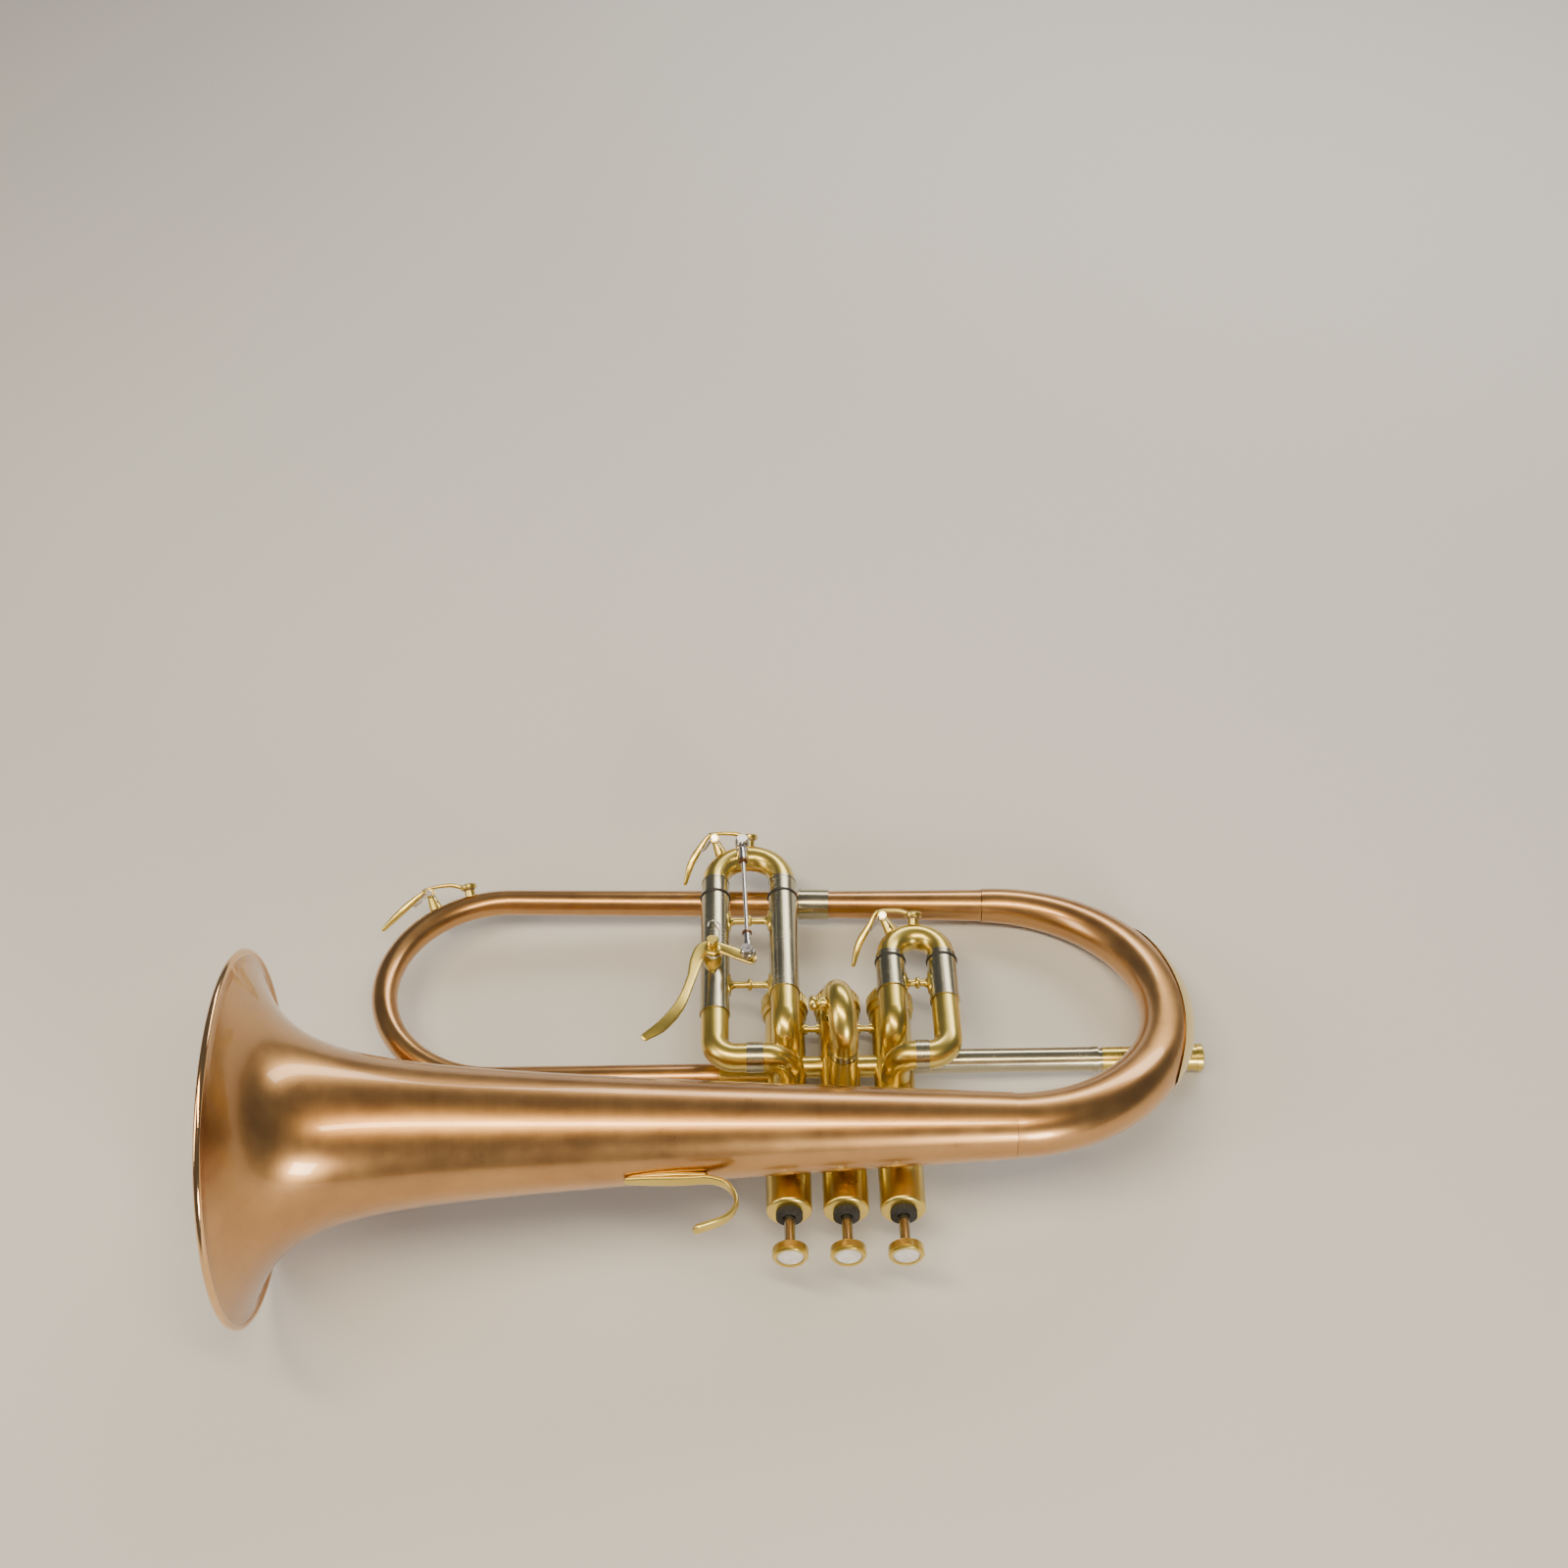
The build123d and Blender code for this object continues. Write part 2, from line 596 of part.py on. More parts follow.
# --- Finger hook on the bell, and the braces between bell and valves
hook_z = 33.0
with BuildPart() as finger_hook:
    with BuildSketch(Plane.XY.offset(hook_z - 2.6)):
        with BuildLine() as hook_line:
            Line((-95, -73.6), (-60, -73.6))
            ThreePointArc((-60, -73.6), (-48.6, -83.5), (-54.5, -94.5))
            Line((-54.5, -94.5), (-64.5, -98.6))
        trace(line_width=1.8)
        with Locations((-77, -71.6)):
            Rectangle(34, 4.0)
    extrude(amount=5.2)
    fillet(finger_hook.edges().filter_by(Axis.Z).group_by(Axis.Y)[0], 0.6)
    add(bell_form.part, mode=Mode.SUBTRACT)
pieces["finger_hook"] = finger_hook

bell_brace_y = -38.5
with BuildPart() as bell_braces:
    for number in (1, 3):
        x = valve_x[number]
        rod(facing((x, bell_brace_y, 4), (0, 0, 1)), 2.2, 20)
        rod(facing((x, bell_brace_y, 4), (0, 0, 1)), 4.2, 7)
        rod(facing((x, bell_brace_y, 16.5), (0, 0, 1)), 4.2, 10)
        cut_casing(number)
    add(bell_form.part, mode=Mode.SUBTRACT)
pieces["bell_braces"] = bell_braces

# --- Trigger: post, spring, lever, and the rod that pushes the third slide
post_base = slide_z + sleeve_radius
lever_hole = 1.55
with BuildPart() as trigger_post:
    with BuildSketch(Plane(origin=(pivot_x, pivot_y - 2, slide_z), x_dir=(0, 1, 0), z_dir=(0, 0, 1))):
        Ellipse(8.0, 4.2)
    extrude(amount=sleeve_radius + 1.0)
    rod(facing((pivot_x, pivot_y, slide_z), (0, 0, 1)), 3.0, lever_z - 0.3 - slide_z)
    rod(facing((pivot_x, pivot_y, slide_z), (0, 0, 1)), 1.5, lever_z + 4 - slide_z)
    rod(facing((third_outer, 40, slide_z), (0, 1, 0)), sleeve_radius, 40, Mode.SUBTRACT)
nut_base = lever_z + lever_thick + 0.3
with BuildPart() as trigger_screw:
    ring(facing((pivot_x, pivot_y, nut_base), (0, 0, 1)), 2.7, 1.5, 2.0)
    rod(facing((pivot_x, pivot_y, nut_base + 2), (0, 0, 1)), 1.9, 1.2)
    rod(facing((pivot_x, pivot_y, nut_base + 3.2), (0, 0, 1)), 2.9, 2.6)
    chamfer(trigger_screw.edges().group_by(Axis.Z)[-1], 0.5)
    with BuildSketch(facing((pivot_x, pivot_y, nut_base + 5.8), (0, 0, 1))):
        Rectangle(0.8, 8)
    extrude(amount=-0.8, mode=Mode.SUBTRACT)
    rod(facing((pivot_x, pivot_y, nut_base - 2), (0, 0, 1)), 1.5, lever_z + 4 - nut_base + 2, Mode.SUBTRACT)

with BuildPart() as trigger_pivot:
    add(trigger_post.part)
    add(trigger_screw.part)
pieces["trigger_pivot"] = trigger_pivot

spatula_points = ((-63.5, 54.5), (-68.0, 46.0), (-72.5, 35.0), (-79.0, 20.0), (-87.0, 7.5), (-92.5, 1.0))
spatula_widths = (4.0, 4.6, 5.4, 6.4, 6.4, 3.0)
with BuildPart() as trigger_lever:
    with BuildSketch(Plane.XY.offset(lever_z)):
        with Locations((pivot_x, pivot_y)):
            Circle(3.7)
        with BuildLine():
            Spline(*[(x - w * 0.45, y + w * 0.25) for (x, y), w in zip(spatula_points, spatula_widths)])
            Line((spatula_points[0][0] - 1.8, spatula_points[0][1] + 1.0), (pivot_x - 0.5, pivot_y + 3.6))
            Line((pivot_x - 0.5, pivot_y + 3.6), (pivot_x + 3.4, pivot_y - 1.6))
            Line((pivot_x + 3.4, pivot_y - 1.6), (spatula_points[0][0] + 1.8, spatula_points[0][1] - 1.0))
            Spline(*[(x + w * 0.45, y - w * 0.25) for (x, y), w in zip(spatula_points, spatula_widths)])
            Line((spatula_points[-1][0] - 1.35, spatula_points[-1][1] + 0.75),
                 (spatula_points[-1][0] + 1.35, spatula_points[-1][1] - 0.75))
        make_face()
        with BuildLine():
            Polyline((pivot_x - 1.0, pivot_y + 3.5), (pivot_x + 8, pivot_y + 1.2),
                     (low_ball[0] - 0.4, low_ball[1] + 3.2), (low_ball[0] - 0.4, low_ball[1] - 3.2),
                     (pivot_x + 1.0, pivot_y - 3.5), (pivot_x - 1.0, pivot_y + 3.5))
        make_face()
        with Locations(low_ball):
            Circle(3.4)
        with Locations((pivot_x, pivot_y)):
            Circle(lever_hole, mode=Mode.SUBTRACT)
    extrude(amount=lever_thick)
pieces["trigger_lever"] = trigger_lever

eye_shift = 0.55
eye_bore = 1.95
eye_low = rod_z - 1.9
stud_top = rod_z + 2.2
with BuildPart() as lever_stud:
    rod(facing((*low_ball, lever_z + lever_thick + 0.02), (0, 0, 1)), 1.2, stud_top - lever_z - lever_thick)
    rod(facing((*low_ball, stud_top), (0, 0, 1)), 3.0, 1.3)
    chamfer(lever_stud.edges().group_by(Axis.Z)[-1], 0.4)
    with BuildSketch(facing((*low_ball, stud_top + 1.3), (0, 0, 1))):
        Rectangle(8, 0.7)
    extrude(amount=-0.6, mode=Mode.SUBTRACT)
pieces["lever_stud"] = lever_stud

with BuildPart() as crook_stud:
    rod(facing((*high_ball, slide_z), (0, 0, 1)), 3.0, eye_low - 0.3 - slide_z - 1.2)
    rod(facing((*high_ball, slide_z), (0, 0, 1)), 1.2, stud_top - slide_z)
    rod(facing((*high_ball, stud_top), (0, 0, 1)), 3.0, 1.3)
    chamfer(crook_stud.edges().group_by(Axis.Z)[-1], 0.4)
    with BuildSketch(facing((*high_ball, stud_top + 1.3), (0, 0, 1))):
        Rectangle(0.7, 8)
    extrude(amount=-0.6, mode=Mode.SUBTRACT)
    along(crook_path(third_inner, third_outer, third_ferrule_high), crook_radius, Mode.SUBTRACT)
pieces["crook_stud"] = crook_stud

rod_low = Vector(low_ball[0] + eye_shift, low_ball[1], rod_z)
rod_high = Vector(*high_ball, rod_z)
rod_way = (rod_high - rod_low).normalized()
with BuildPart() as link_rod:
    for eye, way in ((rod_low, 1), (rod_high, -1)):
        rod(facing((eye.X, eye.Y, eye_low), (0, 0, 1)), 3.9, 3.8)
        rod(Plane(origin=eye + rod_way * way * 3.0, z_dir=rod_way * way), 1.8, 9.0)
        rod(Plane(origin=eye + rod_way * way * 11.5, z_dir=rod_way * way), 2.3, 1.6)
    rod(Plane(origin=rod_low + rod_way * 8, z_dir=rod_way), 1.0, (rod_high - rod_low).length - 16)
    for eye, bore in ((rod_low, eye_bore), (rod_high, 1.25)):
        rod(facing((eye.X, eye.Y, eye_low - 1), (0, 0, 1)), bore, 8, Mode.SUBTRACT)
pieces["link_rod"] = link_rod

spring_base = post_base + 1.5
spring_radius = 3.55
spring_wire = 0.42
with BuildPart() as trigger_spring:
    with BuildLine() as spring_coil:
        Helix(pitch=0.9, height=1.8, radius=spring_radius, center=(pivot_x, pivot_y, spring_base),
              direction=(0, 0, 1), lefthand=True)
    with BuildSketch(Plane(origin=spring_coil.line @ 0, z_dir=spring_coil.line % 0)):
        Circle(spring_wire)
    sweep(path=spring_coil.line, is_frenet=True)
    with BuildLine() as spring_leg:
        FilletPolyline(*[(pivot_x + dx, pivot_y + dy, spring_base)
                         for dx, dy in ((spring_radius, 0), (spring_radius, 18), (-1.5, 24), (-2.5, 17))],
                       radius=2.4)
    with BuildSketch(Plane(origin=spring_leg.line @ 0, z_dir=spring_leg.line % 0)):
        Circle(spring_wire)
    sweep(path=spring_leg.line)
pieces["trigger_spring"] = trigger_spring


# --- Water keys: a saddle and nipple on the tube, a bent lever over them and a cork in its cup
key_barrel = 1.8
key_pin = 0.8
key_half_width = 2.1
nipple_high = 2.4
cup_radius = 3.3


def key_frame(centre, outward):
    """Plane with x along the tube, y out of it through the nipple and z along the hinge."""
    way = Vector(*outward).normalized()
    lengthwise = Vector(1, 0, 0)
    lengthwise = (lengthwise - way * lengthwise.dot(way)).normalized()
    return Plane(origin=centre, x_dir=lengthwise, z_dir=lengthwise.cross(way))


def hinge_bar(frame, spot, low, high, radius, mode=Mode.ADD):
    """A round bar along the hinge direction, centred on a spot of the key's own plane."""
    rod(Plane(origin=frame.from_local_coords((*spot, low)), z_dir=frame.z_dir), radius, high - low, mode)


def out_bar(frame, x, low, high, radius, mode=Mode.ADD):
    """A round bar that stands out of the tube."""
    rod(Plane(origin=frame.from_local_coords((x, low, 0)), z_dir=frame.y_dir), radius, high - low, mode)


def key_post(frame, seat_path, seat_radius, foot, pivot):
    way = (Vector(*pivot) - Vector(*foot)).normalized()
    with BuildPart() as post:
        for spot, radius in ((foot, 4.4), (pivot, 1.7)):
            with BuildSketch(Plane(origin=frame.from_local_coords((*spot, 0)), x_dir=frame.z_dir,
                                   z_dir=frame.from_local_coords(pivot) - frame.from_local_coords(foot))):
                Circle(radius)
        loft()
        hinge_bar(frame, pivot, -2.0, 2.0, key_barrel)
        hinge_bar(frame, pivot, -3.9, 3.9, key_pin)
        out_bar(frame, 0, seat_radius - 3, seat_radius + nipple_high, 2.6)
        along(seat_path, seat_radius, Mode.SUBTRACT)
        out_bar(frame, 0, seat_radius - 3, seat_radius + nipple_high, 1.4, Mode.SUBTRACT)
    return post


def key_lever(frame, seat_radius, pivot, arm, tail):
    """The strip from the cup over the pivot to the finger's end, with two ears on the pin."""
    top = seat_radius + nipple_high + 3.6
    over = (pivot[0], pivot[1] + 2.7)
    with BuildPart() as lever:
        with BuildSketch(Plane(origin=frame.from_local_coords((0, 0, -key_half_width)), x_dir=frame.x_dir,
                               z_dir=frame.z_dir)):
            with BuildLine():
                Spline((0, top - 0.4), arm, over)
                Spline(over, *tail)
            trace(line_width=1.3)
        extrude(amount=2 * key_half_width)
        for side in (-1, 1):
            inner, outer = sorted((side * 2.2, side * 3.4))
            hinge_bar(frame, pivot, inner, outer, 2.3)
        with BuildSketch(Plane(origin=frame.from_local_coords((pivot[0], pivot[1] + 2.7, -3.4)),
                               x_dir=frame.x_dir, z_dir=frame.z_dir)):
            Rectangle(3.4, 1.3)
        extrude(amount=6.8)
        hinge_bar(frame, pivot, -4, 4, key_pin + 0.06, Mode.SUBTRACT)
        hinge_bar(frame, pivot, -2.2, 2.2, key_barrel + 0.25, Mode.SUBTRACT)
        out_bar(frame, 0, top - 2.6, top, cup_radius)
        out_bar(frame, 0, top - 4, top - 1.2, cup_radius - 0.5, Mode.SUBTRACT)
    return lever


def key_cork(frame, seat_radius):
    low = seat_radius + nipple_high + 0.05
    with BuildPart() as cork:
        out_bar(frame, 0, low, seat_radius + nipple_high + 2.38, cup_radius - 0.55)
    return cork


third_apex = (third_inner + 0.5 - third_leg_gap / 2, third_ferrule_high + third_leg_gap / 2, slide_z)
first_apex = (first_inner + first_leg_gap / 2, first_ferrule_high + first_leg_gap / 2, slide_z)
bow_spot = radians(18.6)
bow_apex = (front_x - front_bow_radius * sin(bow_spot),
            outlet_y + front_bow_radius * (1 + cos(bow_spot)), 0)
with BuildLine() as bow_seat:
    ThreePointArc((front_x, outlet_y, 0), (front_x - front_bow_radius, outlet_y + front_bow_radius, 0),
                  tuple(front_start))
key_rows = {
    "third_slide": (key_frame(third_apex, (0, 0.8, 0.6)), crook_path(third_inner, third_outer, third_ferrule_high),
                    crook_radius, (-11.7, -3.9), (-17.4, 10.2), (-8.0, 13.2),
                    ((-23.6, 7.2), (-28.4, -1.9), (-31.2, -9.5))),
    "first_slide": (key_frame(first_apex, (0, 0.8, 0.6)), crook_path(first_inner, first_outer, first_ferrule_high),
                    crook_radius, (-7.9, -2.3), (-15.2, 10.4), (-7.0, 13.2),
                    ((-21.0, 6.4), (-25.4, -3.0), (-27.4, -11.2))),
    "front_bow": (key_frame(bow_apex, (-0.255, 0.757, 0.6)), bow_seat.line,
                  front_tube_radius, (-17.6, 0.0), (-19.6, 12.6), (-9.0, 14.6),
                  ((-27.0, 11.8), (-36.0, 7.4), (-46.5, 1.5))),
}
for name, (frame, seat_path, seat_radius, foot, pivot, arm, tail) in key_rows.items():
    pieces[f"{name}_key_post"] = key_post(frame, seat_path, seat_radius, foot, pivot)
    pieces[f"{name}_key_lever"] = key_lever(frame, seat_radius, pivot, arm, tail)
    pieces[f"{name}_key_cork"] = key_cork(frame, seat_radius)

# --- The horn lies on its side, on the bell's rim, the receiver's ring and the bell bow
bow_steps = 200


def touches(down):
    """Where the rim bead, the receiver's ring and the bell bow reach furthest down."""
    flat = Vector(0, down.Y, down.Z).normalized()
    rim = Vector(rim_x, bell_y, bell_z) + flat * rim_radius + down * bead_radius
    receiver = Vector(receiver_end - 0.6, leadpipe_y, 0) + flat * receiver_ring
    spots = []
    for step in range(bow_steps + 1):
        share = step / bow_steps
        tangent = bow_path.line % share
        sideways = (down - tangent * down.dot(tangent)).normalized()
        place = share * (len(bow_radii) - 1)
        low_end = min(int(place), len(bow_radii) - 2)
        radius = bow_radii[low_end] + (place - low_end) * (bow_radii[low_end + 1] - bow_radii[low_end])
        spots.append(bow_path.line @ share + sideways * radius)
    return rim, receiver, max(spots, key=lambda spot: spot.dot(down))


down = Vector(0, 0, -1)
for _ in range(30):
    rim_touch, receiver_touch, bow_touch = touches(down)
    down = (bow_touch - rim_touch).cross(receiver_touch - rim_touch).normalized()
level = Plane(origin=(0, 0, 0), x_dir=Vector(1, 0, 0) + down * -down.X, z_dir=down * -1).location.inverse()
for piece in pieces.values():
    piece.part.move(level)
reach = Compound([solid for piece in pieces.values() for solid in piece.part.solids()]).bounding_box()
shift = Location((-reach.center().X, -reach.center().Y, -reach.min.Z))
print("laid down by", level, "then", shift)

# --- Every piece is labelled and written
for name, piece in pieces.items():
    piece.part.move(shift)
    piece.part.label = name
    export_step(piece.part, f"parts/{name}.step")
print(len(pieces), "pieces", reach.size)
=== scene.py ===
import bpy
import json
import math
from mathutils import Matrix, Vector


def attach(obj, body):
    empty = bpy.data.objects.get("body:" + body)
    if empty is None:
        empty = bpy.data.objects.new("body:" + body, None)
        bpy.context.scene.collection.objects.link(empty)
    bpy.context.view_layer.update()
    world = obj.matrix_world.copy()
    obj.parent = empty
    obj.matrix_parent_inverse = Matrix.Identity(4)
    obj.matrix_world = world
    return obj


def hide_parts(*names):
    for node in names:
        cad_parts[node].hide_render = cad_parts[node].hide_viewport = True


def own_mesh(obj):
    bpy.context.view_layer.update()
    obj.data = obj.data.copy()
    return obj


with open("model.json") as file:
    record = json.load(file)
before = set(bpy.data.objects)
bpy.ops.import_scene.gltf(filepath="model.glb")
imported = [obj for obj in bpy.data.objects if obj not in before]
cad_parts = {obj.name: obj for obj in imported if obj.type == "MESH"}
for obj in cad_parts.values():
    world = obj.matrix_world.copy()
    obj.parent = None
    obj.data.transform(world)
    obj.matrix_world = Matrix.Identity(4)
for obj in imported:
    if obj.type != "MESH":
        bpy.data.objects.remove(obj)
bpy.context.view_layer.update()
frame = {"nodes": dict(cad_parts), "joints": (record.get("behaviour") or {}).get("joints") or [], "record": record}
nodes = frame["nodes"]
joints = {j["name"]: j for j in frame["joints"]}
slots = {part["node"]: part["material_slot"] for part in frame["record"]["subparts"]}
scene = bpy.context.scene
print("frame loaded", len(nodes), "nodes")

# the horn's own axes in millimetres: x to the player, y away from the buttons, z across the horn,
# with the trigger's pivot and three joint directions tying them to the frame
triggerSpot = Vector((-59.3, 57.5, 34.0))
turn = Matrix([joints[name]["axis"] for name in ("mouthpipe", "valve_1", "second_slide")]).transposed()
middle = Vector(joints["trigger"]["pos_m"]) - turn @ triggerSpot * 0.001
horn = Matrix.Translation(middle) @ turn.to_4x4() @ Matrix.Scale(0.001, 4)
xWay, yWay, zWay = Vector((1, 0, 0)), Vector((0, 1, 0)), Vector((0, 0, 1))


# shader maths
class Wire:
    # one socket that can be added, scaled and compared
    def __init__(self, tree, socket):
        self.tree = tree
        self.socket = socket

    def math(self, operation, first, second):
        made = self.tree.nodes.new("ShaderNodeMath")
        made.operation = operation
        for slot, value in zip(made.inputs, (first, second)):
            plug(self.tree, slot, value)
        return Wire(self.tree, made.outputs[0])

    def __add__(self, other):
        return self.math("ADD", self, other)

    def __radd__(self, other):
        return self.math("ADD", other, self)

    def __sub__(self, other):
        return self.math("SUBTRACT", self, other)

    def __rsub__(self, other):
        return self.math("SUBTRACT", other, self)

    def __mul__(self, other):
        return self.math("MULTIPLY", self, other)

    def __rmul__(self, other):
        return self.math("MULTIPLY", other, self)

    def __gt__(self, other):
        return self.math("GREATER_THAN", self, other)


def plug(tree, slot, value):
    if isinstance(value, Wire):
        tree.links.new(value.socket, slot)
    elif isinstance(value, tuple) and len(slot.default_value) == 4:
        slot.default_value = (*value, 1)
    else:
        slot.default_value = value


class Finish:
    # a material with its principled shader ready
    def __init__(self, name):
        self.material = bpy.data.materials.new(name)
        self.material.use_nodes = True
        self.tree = self.material.node_tree
        self.shader = self.tree.nodes["Principled BSDF"]

    def node(self, kind, settings=None, values=None, out=0):
        # settings come first, because they decide which sockets there are
        made = self.tree.nodes.new("ShaderNode" + kind)
        for key, value in (settings or {}).items():
            if key == "stops":
                ramp = made.color_ramp
                while len(ramp.elements) < len(value):
                    ramp.elements.new(0.5)
                for stop, (place, colour) in zip(ramp.elements, value):
                    stop.position = place
                    stop.color = (*colour, 1)
            else:
                setattr(made, key, value)
        for key, value in (values or {}).items():
            plug(self.tree, made.inputs[key], value)
        return Wire(self.tree, made.outputs[out])

    def mix(self, factor, first, second):
        return self.node("Mix", {"data_type": "RGBA"}, {0: factor, 6: first, 7: second}, out=2)

    def feed(self, **sockets):
        for key, value in sockets.items():
            plug(self.tree, self.shader.inputs[key.replace("_", " ")], value)


# metals: a satin brushed ground under lacquer, with patches of tone and handling marks
metalLooks = {
    "copper": dict(dark=(0.40, 0.19, 0.063), light=(0.58, 0.315, 0.11), bright=(0.82, 0.54, 0.24), rough=0.31,
                   fine=1900.0, roughLines=0.10, bump=0.12, coat=0.75, coatRough=0.045),
    "brass": dict(dark=(0.60, 0.43, 0.075), light=(0.78, 0.60, 0.14), bright=(0.93, 0.79, 0.32), rough=0.30,
                  fine=2200.0, roughLines=0.09, bump=0.10, coat=0.6, coatRough=0.06),
    "nickel": dict(dark=(0.36, 0.325, 0.215), light=(0.50, 0.46, 0.32), bright=(0.66, 0.62, 0.47), rough=0.25,
                   fine=1700.0, roughLines=0.12, bump=0.12, coat=0.35, coatRough=0.07),
    "steel": dict(dark=(0.46, 0.44, 0.42), light=(0.64, 0.62, 0.60), bright=(0.80, 0.79, 0.77), rough=0.20,
                  fine=2400.0, roughLines=0.10, bump=0.12, coat=0.0, coatRough=0.1),
    "guard": dict(dark=(0.66, 0.50, 0.17), light=(0.82, 0.66, 0.27), bright=(0.94, 0.82, 0.45), rough=0.25,
                  fine=2000.0, roughLines=0.12, bump=0.16, coat=0.5, coatRough=0.07),
    "rim": dict(dark=(0.66, 0.36, 0.15), light=(0.82, 0.50, 0.23), bright=(0.93, 0.66, 0.36), rough=0.12,
                fine=900.0, roughLines=0.06, bump=0.06, coat=0.5, coatRough=0.04),
    "collar": dict(dark=(0.16, 0.075, 0.035), light=(0.27, 0.135, 0.06), bright=(0.40, 0.22, 0.11), rough=0.32,
                   fine=2200.0, roughLines=0.1, bump=0.12, coat=0.3, coatRough=0.1),
}
lies = {"x": (1, 0, 0), "y": (0, 1, 0), "z": (0, 0, 1), "all": (0.35, 0.35, 0.35)}
brush = dict(cross=55.0, lineMix=0.12, cloud=16.0, smudge=70.0, speck=520.0, depth=0.00006)
finishes = {}  # made so far, by kind and lie


def metal(kind, lie):
    # lie says where the brushed lines come from: along a piece's own length, or across a horn axis
    if (kind, lie) in finishes:
        return finishes[kind, lie]
    look = metalLooks[kind]
    out = Finish(kind + "_" + lie)
    spot = out.node("TexCoord", out="Object")
    if lie == "length":
        place, scale = out.node("TexCoord", out="UV"), (3.0, look["fine"], 1.0)
    else:
        place = out.node("Mapping", {"vector_type": "TEXTURE"}, {"Vector": spot, "Rotation": turn.to_euler()})
        scale = tuple(brush["cross"] + (look["fine"] - brush["cross"]) * part for part in lies[lie])
    grain = out.node("Mapping", values={"Vector": place, "Scale": scale})
    lines = out.node("TexNoise", values={"Vector": grain, "Scale": 1.0, "Detail": 5.0, "Roughness": 0.7})
    cloud = out.node("TexNoise", values={"Vector": spot, "Scale": brush["cloud"], "Detail": 4.0})
    smudge = out.node("TexNoise", values={"Vector": spot, "Scale": brush["smudge"], "Detail": 6.0,
                                          "Roughness": 0.6})
    speck = out.node("TexNoise", values={"Vector": spot, "Scale": brush["speck"], "Detail": 2.0}) > 0.76
    tone = out.node("ValToRGB", {"stops": [(0.34, look["dark"]), (0.66, look["light"])]},
                    {"Fac": cloud * 0.7 + smudge * 0.3})
    tone = out.mix(lines * brush["lineMix"], tone, look["bright"])
    tone = out.mix(speck * 0.15, tone, look["dark"])
    rough = look["rough"] + (lines - 0.5) * look["roughLines"] + (smudge - 0.5) * 0.14 + speck * 0.12
    bump = out.node("Bump", values={"Strength": look["bump"], "Distance": brush["depth"],
                                    "Height": lines + speck * 0.4})
    out.feed(Base_Color=tone, Metallic=1.0, Roughness=rough, Normal=bump)
    out.feed(Coat_Weight=look["coat"], Coat_Roughness=look["coatRough"])
    finishes[kind, lie] = out.material
    return out.material


# rubber, felt, cork and pearl
softLooks = {
    "rubber": dict(grain=900.0, dark=(0.008, 0.008, 0.008), light=(0.024, 0.023, 0.022), rough=0.42, bump=0.25),
    "felt": dict(grain=2600.0, dark=(0.010, 0.010, 0.011), light=(0.055, 0.052, 0.048), rough=0.95, bump=0.9),
    "cork": dict(grain=1100.0, dark=(0.20, 0.10, 0.05), light=(0.52, 0.33, 0.18), rough=0.85, bump=0.7),
    "pearl": dict(grain=220.0, dark=(0.66, 0.60, 0.58), light=(0.86, 0.87, 0.82), rough=0.16, bump=0.02),
}


def soft(kind):
    if kind in finishes:
        return finishes[kind]
    look = softLooks[kind]
    out = Finish(kind)
    spot = out.node("TexCoord", out="Object")
    grain = out.node("TexNoise", values={"Vector": spot, "Scale": look["grain"], "Detail": 8.0})
    patch = out.node("TexNoise", values={"Vector": spot, "Scale": look["grain"] * 0.2, "Detail": 3.0,
                                         "Distortion": 1.5})
    tone = out.node("ValToRGB", {"stops": [(0.36, look["dark"]), (0.64, look["light"])]},
                    {"Fac": grain * 0.6 + patch * 0.4})
    bump = out.node("Bump", values={"Strength": look["bump"], "Distance": 0.0002, "Height": grain})
    out.feed(Base_Color=tone, Roughness=look["rough"] + (grain - 0.5) * 0.2, Normal=bump)
    if kind == "pearl":
        out.feed(Coat_Weight=0.8, Coat_Roughness=0.05)
    finishes[kind] = out.material
    return out.material


# the carried-over nodes get their finish; the lines cross each tube
lieOf = {"bottom_tube_ferrule": "x", "outlet_ferrule": "x", "casing_links": "x", "leadpipe_sleeve": "x",
         "mouthpipe": "x", "mouthpiece_receiver": "x", "low_tube_ferrules": "x", "second_slide_sleeves": "z",
         "second_slide_legs": "z", "bell_braces": "z", "bell_rim_wire": "all", "slide_elbows": "all",
         "slide_bends": "all", "slide_knuckles": "all"}
for node, slot in slots.items():
    if slot in softLooks:
        finish = soft(slot)
    else:
        finish = metal("guard" if node == "bow_guard" else slot, lieOf.get(node, "y"))
    for place in nodes[node].material_slots:
        place.material = finish
print("finishes ready", len(finishes))


